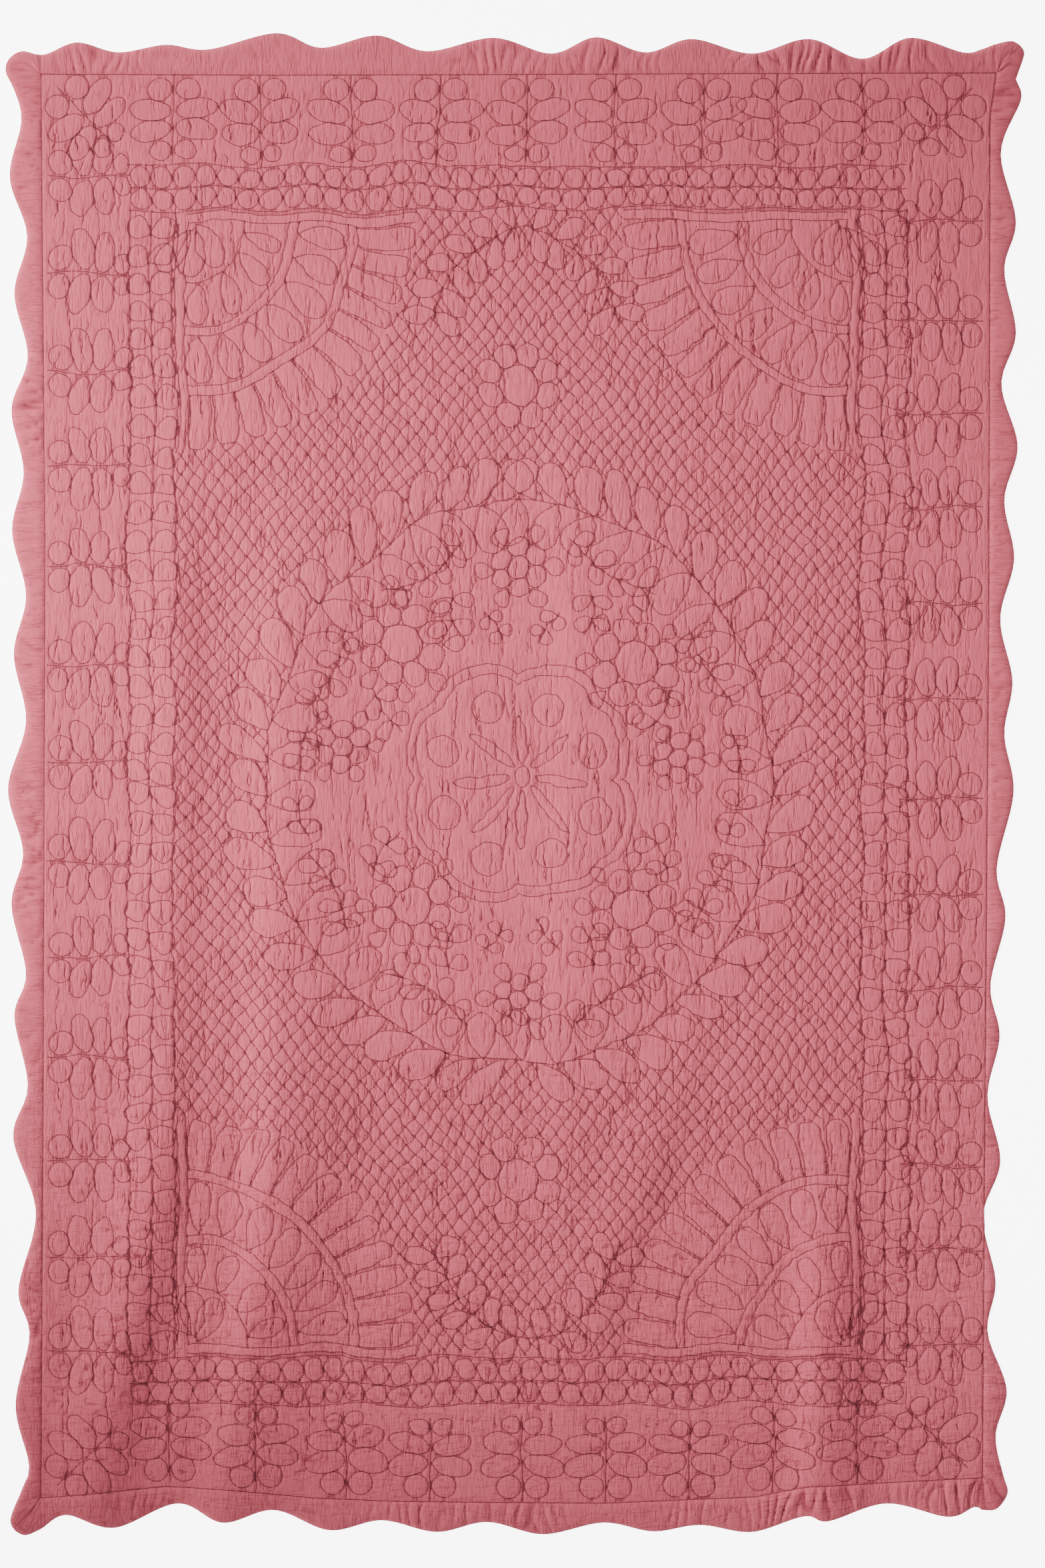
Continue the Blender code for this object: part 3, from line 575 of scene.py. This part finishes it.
def cloth_piece(name, places, triangles, normals, lie, gaps, painted_shade, material):
    """Mesh of the points that the triangles use, with what the cotton's finish reads as attributes.

    lie is each point's place in the flat cloth, gaps are how far the nearest seam and crease are in
    millimetres, and painted_shade is how much shade is painted on that seam, that crease and the cloth beside
    them.
    """
    used, local = np.unique(triangles, return_inverse=True)
    mesh = bpy.data.meshes.new(name)
    mesh.from_pydata(places[used].tolist(), [], local.reshape(-1, 3).tolist())
    mesh.shade_smooth()
    mesh.normals_split_custom_set_from_vertices(normals[used].tolist())
    flat = np.stack((lie.real, lie.imag, np.zeros(lie.shape)), -1) * MM
    for label, rows in (("lie", flat), ("gaps", gaps), ("painted_shade", painted_shade)):
        values = rows.reshape(-1, 3)[used].ravel().astype(np.float32)
        mesh.attributes.new(label, "FLOAT_VECTOR", "POINT").data.foreach_set("vector", values)
    mesh.materials.append(material)
    piece = bpy.data.objects.new(name, mesh)
    bpy.context.scene.collection.objects.link(piece)
    return piece


class Number:
    """A number socket in a shader, which adds Math nodes when it is reckoned with."""

    def __init__(self, tree, socket):
        self.tree = tree
        self.socket = socket

    def reckon(self, operation, *terms):
        node = self.tree.nodes.new("ShaderNodeMath")
        node.operation = operation
        for slot, term in zip(node.inputs, terms):
            if isinstance(term, Number):
                self.tree.links.new(term.socket, slot)
            else:
                slot.default_value = term
        return Number(self.tree, node.outputs[0])

    def __add__(self, other):
        return self.reckon("ADD", self, other)

    def __sub__(self, other):
        return self.reckon("SUBTRACT", self, other)

    def __rsub__(self, other):
        return self.reckon("SUBTRACT", other, self)

    def __mul__(self, other):
        return self.reckon("MULTIPLY", self, other)

    def __abs__(self):
        return self.reckon("ABSOLUTE", self)

    def clamped(self):
        return self.reckon("MINIMUM", self.reckon("MAXIMUM", self, 0.0), 1.0)

    __radd__ = __add__
    __rmul__ = __mul__


class Finish:
    """A material that is put together node by node."""

    def __init__(self, name):
        self.material = bpy.data.materials.new(name)
        self.material.use_nodes = True
        self.tree = self.material.node_tree
        self.shader = self.tree.nodes["Principled BSDF"]

    def node(self, kind, settings=None, sockets=None):
        made = self.tree.nodes.new(kind)
        for key, value in (settings or {}).items():
            setattr(made, key, value)
        for key, value in (sockets or {}).items():
            self.feed(made.inputs[key], value)
        return made

    def feed(self, slot, value):
        if isinstance(value, Number):
            self.tree.links.new(value.socket, slot)
        elif isinstance(value, bpy.types.NodeSocket):
            self.tree.links.new(value, slot)
        else:
            slot.default_value = value

    def grain(self, scale, detail=2.0, start=(0, 0, 0)):
        """Noise from 0 to 1 on the cloth's own places, with its own scale along each axis."""
        where = self.node("ShaderNodeAttribute", {"attribute_name": "lie"}).outputs["Vector"]
        mapped = self.node("ShaderNodeMapping", None, {"Vector": where, "Scale": scale, "Location": start})
        noise = self.node("ShaderNodeTexNoise", None, {
            "Vector": mapped.outputs["Vector"], "Scale": 1.0, "Detail": detail, "Roughness": 0.5})
        return Number(self.tree, noise.outputs["Fac"])

    def creases(self, scale, thickness, start=(0, 0, 0)):
        """Thin wandering lines, 1 on the line and 0 off it, which come and go in patches."""
        line = 1 - abs(self.grain(scale, 1.0, start) - 0.5) * (1 / thickness)
        patch = (self.grain((scale[0] * 0.35, scale[1] * 0.8, 1), 1.0, start) - 0.34) * 5
        return line.clamped() * patch.clamped()

    def parts(self, name):
        """The three numbers of an attribute."""
        source = self.node("ShaderNodeAttribute", {"attribute_name": name}).outputs["Vector"]
        split = self.node("ShaderNodeSeparateXYZ", None, {"Vector": source})
        return [Number(self.tree, socket) for socket in split.outputs]

    def mixed(self, share, first, second):
        mix = self.node("ShaderNodeMix", {"data_type": "RGBA"})
        for slot, value in ((mix.inputs[0], share), (mix.inputs[6], first), (mix.inputs[7], second)):
            self.feed(slot, value)
        return mix.outputs[2]


COTTON = (0.59, 0.087, 0.126, 1)
COTTON_FADED = (0.72, 0.139, 0.187, 1)
# The cotton in painted shade, which also gives the dark of its slubs.
COTTON_SHADE_AND_SLUB = (0.15, 0.012, 0.022, 1)
# How wide the painted shade line of a seam and of a crease is drawn, in millimetres from its middle.
SEAM_LINE, CREASE_LINE = 0.95, 1.0
cotton = Finish("washed_cotton")
streaks = cotton.grain((900, 70, 1)) * 0.5 + cotton.grain((70, 900, 1), start=(3, 1, 0)) * 0.5
mottle = cotton.grain((7, 5, 1), 3.0)
body_colour = cotton.mixed((streaks * 0.9 + mottle * 0.4 - 0.15).clamped(), COTTON, COTTON_FADED)
place = cotton.node("ShaderNodeTexCoord").outputs["Object"]
up_the_cloth = Number(cotton.tree, cotton.node("ShaderNodeSeparateXYZ", None, {"Vector": place}).outputs["Y"])
lower_part = ((up_the_cloth + 0.15) * -1.3).clamped() * 0.9 + 0.1
upright_creases = cotton.creases((88, 16, 1), 0.036)
level_creases = cotton.creases((16, 80, 1), 0.036, (5, 2, 0)) * lower_part
crease_lines = (upright_creases + level_creases).clamped()
puckers = abs(cotton.grain((150, 24, 1), 2.0, (1, 7, 0)) - 0.5)
cross_puckers = abs(cotton.grain((40, 150, 1), 2.0, (4, 2, 0)) - 0.5) * (lower_part * 0.8 + 0.2)
weave = cotton.grain((1500, 1500, 1), 1.0)
seam_gap_here, crease_gap_here, _ = cotton.parts("gaps")
seam_painted_shade, crease_painted_shade, soft_shade = cotton.parts("painted_shade")
seam_line = (1 - seam_gap_here * (1 / SEAM_LINE)).clamped() * seam_painted_shade
crease_line = (1 - crease_gap_here * (1 / CREASE_LINE)).clamped() * crease_painted_shade
slubs = (cotton.grain((420, 40, 1), 2.0, (2, 9, 0)) - 0.5) * 0.7
# Painted shade: the seam lines, the crease lines, the fine wandering creases and the cloth beside them are
# coloured darker where shade falls in them. The slubs add real tone of the weave.
painted_shade_and_slubs = (seam_line + crease_line + soft_shade + crease_lines * 0.3 + slubs).clamped()
cotton.feed(cotton.shader.inputs["Base Color"], cotton.mixed(painted_shade_and_slubs * 0.9, body_colour, COTTON_SHADE_AND_SLUB))
sunk_lines = crease_lines * 0.16 + seam_line * 0.25 + crease_line * 0.4
cloth_bump = puckers * 0.85 + cross_puckers * 0.6 + weave * 0.05 - sunk_lines
bump = cotton.node("ShaderNodeBump", None, {"Height": cloth_bump, "Strength": 0.9, "Distance": 0.0022})
cotton.feed(cotton.shader.inputs["Normal"], bump.outputs["Normal"])
for socket, value in (("Roughness", 0.88), ("Sheen Weight", 0.1), ("Sheen Roughness", 0.5),
                      ("Specular IOR Level", 0.2)):
    cotton.shader.inputs[socket].default_value = value

face_places = np.stack((face_x, face_y, face_z), -1).reshape(-1, 3) * MM
face_cells = grid_triangles(face_z, pinned, face_x.shape)
face_normals = point_normals(face_places, face_cells.reshape(-1, 3))
face_gaps = np.stack((seam_gap, crease_gap, np.zeros(seam_gap.shape)), -1)
for panel in range(FACE_PANELS):
    first, last = (round(FACE_ROWS * k / FACE_PANELS) for k in (panel, panel + 1))
    piece = cloth_piece(f"face_panel_{panel + 1}", face_places, face_cells[first:last].reshape(-1, 3),
                        face_normals, (face_x + 1j * face_y).ravel(), face_gaps, face_painted_shade, cotton.material)
    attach(piece, "root")

# Scalloped edge.
# The same cloth outside the hem line, cut in scallops and turned in at the rim, with gathers that
# run square to the edge. It is a strip of columns from the hem line out to the rim.
# A row a scallop: notch along the side, notch out, crest along, crest out.
TOP_SCALLOPS = (
    (-813, 1258, -756, 1279), (-685, 1262, -603, 1275), (-530, 1267, -412, 1295),
    (-335, 1270, -238, 1291), (-152, 1264, -37, 1287), (62, 1260, 140, 1288),
    (225, 1262, 305, 1285), (408, 1260, 507, 1285), (599, 1251, 681, 1287),
)
RIGHT_SCALLOPS = (
    (1214, 864, 1181, 873), (1089, 838, 971, 864), (887, 844, 777, 864), (689, 839, 583, 867),
    (490, 844, 388, 861), (285, 837, 178, 858), (86, 844, -14, 860), (-145, 831, -231, 846),
    (-348, 820, -435, 836), (-539, 815, -651, 837), (-746, 807, -858, 829), (-945, 815, -1044, 848),
)
BOTTOM_SCALLOPS = (
    (792, -1247, 746, -1264), (641, -1241, 540, -1270), (499, -1262, 409, -1290),
    (319, -1278, 238, -1289), (152, -1274, 48, -1294), (-48, -1273, -136, -1290),
    (-230, -1270, -321, -1287), (-416, -1252, -504, -1273), (-583, -1241, -690, -1282),
)
LEFT_SCALLOPS = (
    (-1172, -839, -1071, -862), (-950, -838, -872, -857), (-739, -827, -610, -866),
    (-521, -841, -401, -864), (-327, -844, -208, -869), (-118, -849, -8, -875),
    (108, -844, 224, -865), (325, -844, 437, -868), (538, -848, 646, -869),
    (737, -841, 846, -864), (945, -842, 1046, -872),
)
TOP_RIGHT_LOBE = (772 + 1262j, 804 + 1267j, 829 + 1276j, 859 + 1281j, 878 + 1264j, 873 + 1240j)
BOTTOM_RIGHT_LOBE = (829 - 1122j, 841 - 1188j, 850 - 1222j, 831 - 1250j, 806 - 1252j)
BOTTOM_LEFT_LOBE = (-774 - 1260j, -820 - 1286j, -850 - 1295j, -871 - 1270j, -849 - 1212j)
TOP_LEFT_LOBE = (-852 + 1142j, -863 + 1194j, -879 + 1228j, -873 + 1251j, -850 + 1264j)


def side_points(rows, upright):
    """Notches and crests of one side, in order."""
    pairs = np.array(rows, dtype=float).reshape(-1, 2)
    return list(pairs[:, 1] + 1j * pairs[:, 0] if upright else pairs[:, 0] + 1j * pairs[:, 1])


RIM_STEP = 1.5
rim_loop = smooth_path(
    side_points(TOP_SCALLOPS, False) + list(TOP_RIGHT_LOBE) + side_points(RIGHT_SCALLOPS, True)
    + list(BOTTOM_RIGHT_LOBE) + side_points(BOTTOM_SCALLOPS, False) + list(BOTTOM_LEFT_LOBE)
    + side_points(LEFT_SCALLOPS, True) + list(TOP_LEFT_LOBE), closed=True, step=RIM_STEP)


def rim_across(hem, upright, sign):
    """Rim straight out from each hem point, up and down or left and right."""
    along, out = (rim_loop.imag, rim_loop.real) if upright else (rim_loop.real, rim_loop.imag)
    place = hem.imag if upright else hem.real
    side = (sign * out > (800 if upright else 1190)) & (along > place.min() - 6) & (along < place.max() + 6)
    order = np.argsort(along[side])
    reached = np.interp(place, along[side][order], out[side][order])
    return reached + 1j * place if upright else place + 1j * reached


CORNER_STEP = 4.0
hem_grid = hem_x + 1j * hem_y
sides = (
    (hem_grid[-1], False, 1), (hem_grid[::-1, -1], True, 1),
    (hem_grid[0, ::-1], False, -1), (hem_grid[:, 0], True, -1),
)
strip_in, strip_out = [], []
for k, (hem, upright, sign) in enumerate(sides):
    out = rim_across(hem, upright, sign)
    following, next_upright, next_sign = sides[(k + 1) % 4]
    next_out = rim_across(following, next_upright, next_sign)
    start, end = (int(np.argmin(np.abs(rim_loop - p))) for p in (out[-1], next_out[0]))
    if end < start:
        end += len(rim_loop)
    lobe_run = rim_loop[np.arange(start, end + 1) % len(rim_loop)]
    rays = lobe_run[:: max(1, round(CORNER_STEP / RIM_STEP))][1:-1]
    strip_in += [hem, np.full(len(rays), hem[-1])]
    strip_out += [out, rays]
strip_in, strip_out = np.concatenate(strip_in), np.concatenate(strip_out)

EDGE_ROWS = 14
EDGE_PAD_RISE = 3.0
EDGE_TURN = 4.5
EDGE_LEVEL = 1.7
GATHER_DEPTH, GATHER_PITCH, GATHER_RUN = 2.0, 44, 240
share = np.linspace(0, 1, EDGE_ROWS + 1) ** 0.94
strip = strip_in[:, None] * (1 - share) + strip_out[:, None] * share
strip = np.concatenate((strip, strip[:1]))
round_run = np.concatenate(((0,), np.cumsum(np.abs(np.diff(strip[:, EDGE_ROWS // 2])))))
run = np.broadcast_to(round_run[:, None], strip.shape)
width = np.abs(strip[:, -1] - strip[:, 0])[:, None]
hem_gap, rim_gap = width * share, width * (1 - share)
lean = run + 6 * drift(run, hem_gap, 90, 41)
gathers = np.minimum(np.abs(waves(lean, hem_gap, GATHER_PITCH, GATHER_RUN, 42, 0.35)), 1.3) ** 0.7
small_gathers = np.minimum(np.abs(waves(lean, hem_gap, 17, 130, 43, 0.35)), 1.3) ** 0.8
hold = (1 - np.exp(-hem_gap / 5)) * (1 - 0.75 * np.exp(-rim_gap / 14))
calm = np.clip(0.8 + 0.5 * drift(run, hem_gap * 0.2, 260, 44), 0.15, 1.6)
edge_z = (
    EDGE_LEVEL + (SEAM_LEVEL - EDGE_LEVEL) * np.exp(-hem_gap / 12)
    + EDGE_PAD_RISE * (1 - np.exp(-hem_gap / 6)) * (1 - np.exp(-rim_gap / EDGE_TURN))
    + GATHER_DEPTH * hold * calm * (gathers - 0.8) + 0.5 * hold * calm * (small_gathers - 0.8)
    + fold_lift(strip.real, strip.imag))
edge_shade = np.clip(
    1.3 * hold * calm * np.clip(0.45 - gathers, 0, 1)
    + 0.6 * hold * np.clip(0.4 - small_gathers, 0, 1) + 0.25 * np.exp(-rim_gap / 1.5), 0, 1)
edge_z[-1], edge_shade[-1] = edge_z[0], edge_shade[0]
edge_places = np.stack((strip.real, strip.imag, edge_z), -1).reshape(-1, 3) * MM
edge_cells = grid_triangles(edge_z, np.zeros(strip.shape, dtype=bool), strip.shape).reshape(-1, 3)
edge_cells[edge_cells >= (len(strip) - 1) * (EDGE_ROWS + 1)] -= (len(strip) - 1) * (EDGE_ROWS + 1)
edge_cells = with_area(edge_places, edge_cells)[:, ::-1]
edge_normals = point_normals(edge_places, edge_cells)
NO_LINE_NEAR = 50.0
edge_gaps = np.stack((hem_gap, np.full(run.shape, NO_LINE_NEAR), np.zeros(run.shape)), -1)
# The hem line gets the seams' base painted shade; edge_shade is painted shade in the gathers' valleys and at
# the rim.
edge_painted_shade = np.stack((np.full(run.shape, PAINTED_SEAM_SHADE[0]), np.zeros(run.shape), edge_shade), -1)
scalloped_edge = cloth_piece("scalloped_edge", edge_places, edge_cells, edge_normals,
                             (run + 1j * hem_gap).ravel(), edge_gaps, edge_painted_shade, cotton.material)
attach(scalloped_edge, "root")

# Backing.
# The cotton on the underside and the turned rim, which lies flat on the surface but for the folds.
BACK_COLUMN_STEP, BACK_ROW_STEP = 4, 3
RIM_TUCK = 1.0
rim_strip = strip[:-1][:: BACK_ROW_STEP]
rim_top = edge_z[:-1, -1][:: BACK_ROW_STEP]
lift = fold_lift(rim_strip[:, -1].real, rim_strip[:, -1].imag)
outward = rim_strip[:, -1] - rim_strip[:, -2]
outward /= np.abs(outward)
rings = [
    (rim_strip[:, -1] - RIM_TUCK * outward, rim_top - 0.35),
    (rim_strip[:, -1] + 0.25 * outward, rim_top * 0.55 + lift * 0.45),
    (rim_strip[:, -1] - 0.6 * outward, lift + 0.2), (rim_strip[:, -1] - 2.5 * outward, lift),
]
halfway = rim_strip[:, 0] * 0.5 + rim_strip[:, -1] * 0.5
rings.append((halfway, fold_lift(halfway.real, halfway.imag)))
rings.append((rim_strip[:, 0], fold_lift(rim_strip[:, 0].real, rim_strip[:, 0].imag)))
ring_places = np.stack([np.stack((flat.real, flat.imag, height), -1) for flat, height in rings]) * MM
ring_count = len(rim_strip)
numbers = np.arange(len(rings) * ring_count).reshape(len(rings), ring_count)
a, b = numbers[:-1], np.roll(numbers[:-1], -1, axis=1)
d, c = numbers[1:], np.roll(numbers[1:], -1, axis=1)
back_cells = np.concatenate((np.stack((a, b, c), -1).reshape(-1, 3), np.stack((a, c, d), -1).reshape(-1, 3)))
back_x, back_y = hem_x[::BACK_ROW_STEP, ::BACK_COLUMN_STEP], hem_y[::BACK_ROW_STEP, ::BACK_COLUMN_STEP]
back_z = fold_lift(back_x, back_y)
sheet_places = np.stack((back_x, back_y, back_z), -1).reshape(-1, 3) * MM
sheet_cells = grid_triangles(back_z, np.zeros(back_x.shape, dtype=bool), back_x.shape).reshape(-1, 3)[:, ::-1]
back_places = np.concatenate((ring_places.reshape(-1, 3), sheet_places))
back_cells = np.concatenate((back_cells, sheet_cells + len(rings) * ring_count))
back_cells = with_area(back_places, back_cells)
backing = cloth_piece("backing", back_places, back_cells, point_normals(back_places, back_cells),
                      (back_places[:, 0] + 1j * back_places[:, 1]) / MM,
                      np.full(back_places.shape, NO_LINE_NEAR), np.zeros(back_places.shape), cotton.material)
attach(backing, "root")

# Hand stitches.
# Running stitches, about seven to the inch, sunk in every sewn line. The real thread is rose like the cloth,
# but the stitches are coloured dark plum as painted shade of the sunken thread and its needle holes. One node
# tree lays small flat four-sided stitches, turned along their line.
STITCH_PITCH, STITCH_HALF_LENGTH = 3.5, 1.4
STITCH_LIFT = 0.8
# Dark plum as painted shade: the real thread is rose like the cloth.
THREAD_PAINTED_SHADE = (0.13, 0.012, 0.022, 1)


def stitch_tree():
    """Node tree that lays stitches along the edges of a mesh."""
    tree = bpy.data.node_groups.new("stitches", "GeometryNodeTree")
    sockets = tree.interface
    sockets.new_socket("Geometry", in_out="INPUT", socket_type="NodeSocketGeometry")
    for label, kind in (("Pitch", "NodeSocketFloat"), ("Half length", "NodeSocketFloat"),
                        ("Thread", "NodeSocketMaterial"), ("Seed", "NodeSocketInt")):
        sockets.new_socket(label, in_out="INPUT", socket_type=kind)
    sockets.new_socket("Geometry", in_out="OUTPUT", socket_type="NodeSocketGeometry")
    given = tree.nodes.new("NodeGroupInput")
    curve = tree.nodes.new("GeometryNodeMeshToCurve")
    even = tree.nodes.new("GeometryNodeResampleCurve")
    even.mode = "LENGTH"
    stitch = tree.nodes.new("GeometryNodeMeshCircle")
    stitch.fill_type = "NGON"
    stitch.inputs["Vertices"].default_value = 4
    tangent = tree.nodes.new("GeometryNodeInputTangent")
    align = tree.nodes.new("FunctionNodeAlignRotationToVector")
    align.axis = "X"
    align.pivot_axis = "Z"
    size = tree.nodes.new("FunctionNodeRandomValue")
    size.data_type = "FLOAT_VECTOR"
    size.inputs[0].default_value = (0.85, 0.50, 0.8)
    size.inputs[1].default_value = (1.15, 0.72, 1.2)
    spread = tree.nodes.new("GeometryNodeInstanceOnPoints")
    real = tree.nodes.new("GeometryNodeRealizeInstances")
    dressed = tree.nodes.new("GeometryNodeSetMaterial")
    result = tree.nodes.new("NodeGroupOutput")
    for source, target in (
        (given.outputs["Geometry"], curve.inputs["Mesh"]),
        (curve.outputs["Curve"], even.inputs["Curve"]),
        (given.outputs["Pitch"], even.inputs["Length"]),
        (given.outputs["Half length"], stitch.inputs["Radius"]),
        (tangent.outputs["Tangent"], align.inputs["Vector"]),
        (given.outputs["Seed"], size.inputs["Seed"]),
        (even.outputs["Curve"], spread.inputs["Points"]),
        (stitch.outputs["Mesh"], spread.inputs["Instance"]),
        (align.outputs["Rotation"], spread.inputs["Rotation"]),
        (size.outputs[0], spread.inputs["Scale"]),
        (spread.outputs["Instances"], real.inputs["Geometry"]),
        (real.outputs["Geometry"], dressed.inputs["Geometry"]),
        (given.outputs["Thread"], dressed.inputs["Material"]),
        (dressed.outputs["Geometry"], result.inputs["Geometry"]),
    ):
        tree.links.new(source, target)
    return tree


def stitched(name, lines, tree, thread, seed):
    """Plain mesh of the stitches along the lines."""
    guide = bpy.data.meshes.new(name + "_guide")
    flat = np.concatenate(lines)
    height = SEAM_LEVEL + STITCH_LIFT + fold_lift(flat.real, flat.imag)
    places = np.stack((flat.real, flat.imag, height), -1) * MM
    starts = np.cumsum([0] + [len(line) for line in lines])
    edges = [(k, k + 1) for a, b in zip(starts, starts[1:]) for k in range(a, b - 1)]
    guide.from_pydata(places.tolist(), edges, [])
    piece = bpy.data.objects.new(name, guide)
    bpy.context.scene.collection.objects.link(piece)
    layer = piece.modifiers.new("stitches", "NODES")
    layer.node_group = tree
    given = {"Pitch": STITCH_PITCH * MM, "Half length": STITCH_HALF_LENGTH * MM,
             "Thread": thread, "Seed": seed}
    for socket in tree.interface.items_tree:
        if socket.in_out == "INPUT" and socket.name in given:
            layer[socket.identifier] = given[socket.name]
    bpy.context.view_layer.update()
    solid = bpy.data.meshes.new_from_object(piece.evaluated_get(bpy.context.evaluated_depsgraph_get()))
    piece.modifiers.remove(layer)
    piece.data = solid
    solid.name = name
    bpy.data.meshes.remove(guide)
    return piece


thread = Finish("rose_thread_in_painted_shade")
thread.shader.inputs["Base Color"].default_value = THREAD_PAINTED_SHADE
thread.shader.inputs["Roughness"].default_value = 0.8
tree = stitch_tree()
stitch_pieces = [
    stitched("border_stitches", sewn_lines[:border_line_count] + [hem_line], tree, thread.material, 3),
    stitched("field_stitches", sewn_lines[border_line_count:-1], tree, thread.material, 4),
]
for piece in stitch_pieces:
    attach(piece, "root")

# Floor, light and camera.
# A plain pale floor, soft light that rakes from the upper left, and the camera straight above.
PICTURE_UNIT = 1.15 * MM
PICTURE_WIDTH, PICTURE_HEIGHT = 1568, 2352
PICTURE_MIDDLE_X = (PICTURE_WIDTH / 2 - 773) * PICTURE_UNIT
LENS, SENSOR = 85.0, 36.0
FLOOR_HALF, FLOOR_LEVEL = 9.0, -0.0006
floor_mesh = bpy.data.meshes.new("floor")
floor_corners = [(x, y, FLOOR_LEVEL) for x, y in (
    (-FLOOR_HALF, -FLOOR_HALF), (FLOOR_HALF, -FLOOR_HALF), (FLOOR_HALF, FLOOR_HALF), (-FLOOR_HALF, FLOOR_HALF))]
floor_mesh.from_pydata(floor_corners, [], [(0, 1, 2, 3)])
floor = bpy.data.objects.new("floor", floor_mesh)
bpy.context.scene.collection.objects.link(floor)
pale = Finish("pale_floor")
pale.shader.inputs["Base Color"].default_value = (0.95, 0.95, 0.95, 1)
pale.shader.inputs["Roughness"].default_value = 0.8
pale.shader.inputs["Emission Color"].default_value = (1, 1, 1, 1)
pale.shader.inputs["Emission Strength"].default_value = 7.0
floor_mesh.materials.append(pale.material)

world = bpy.data.worlds.new("studio")
bpy.context.scene.world = world
world.use_nodes = True
world.node_tree.nodes["Background"].inputs["Color"].default_value = (1, 1, 1, 1)
world.node_tree.nodes["Background"].inputs["Strength"].default_value = 0.22

KEY_DISTANCE, KEY_REACH = 11.0, 2.15
KEY_HEADING, KEY_ELEVATION = math.radians(158), math.radians(31)
KEY_AIM = (0.20, 0.07, 0)
key = bpy.data.lights.new("key", "SPOT")
key.energy = 13000
key.spot_size = 2 * math.atan(KEY_REACH / KEY_DISTANCE)
key.spot_blend = 1.0
key.shadow_soft_size = 0.8
key_holder = bpy.data.objects.new("key", key)
level_reach = KEY_DISTANCE * math.cos(KEY_ELEVATION)
key_holder.location = (
    KEY_AIM[0] + level_reach * math.cos(KEY_HEADING), KEY_AIM[1] + level_reach * math.sin(KEY_HEADING),
    KEY_DISTANCE * math.sin(KEY_ELEVATION))
key_holder.rotation_euler = (Vector(KEY_AIM) - key_holder.location).to_track_quat("-Z", "Y").to_euler()
bpy.context.scene.collection.objects.link(key_holder)

side = bpy.data.lights.new("side", "AREA")
side.shape = "RECTANGLE"
side.energy = 12
side.size, side.size_y = 0.7, 2.0
side_holder = bpy.data.objects.new("side", side)
side_holder.location = (-2.1, 0.1, 0.85)
side_aim = Vector((-0.8, 0.1, 0)) - side_holder.location
side_holder.rotation_euler = side_aim.to_track_quat("-Z", "X").to_euler()
bpy.context.scene.collection.objects.link(side_holder)

camera = bpy.data.cameras.new("camera")
camera.lens = LENS
camera.sensor_width = SENSOR
camera_object = bpy.data.objects.new("camera", camera)
distance = PICTURE_HEIGHT * PICTURE_UNIT / SENSOR * LENS
camera_object.location = (PICTURE_MIDDLE_X, 0, distance)
bpy.context.scene.collection.objects.link(camera_object)
bpy.context.scene.camera = camera_object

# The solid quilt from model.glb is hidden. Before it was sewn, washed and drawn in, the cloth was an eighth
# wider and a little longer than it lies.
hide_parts("quilt")
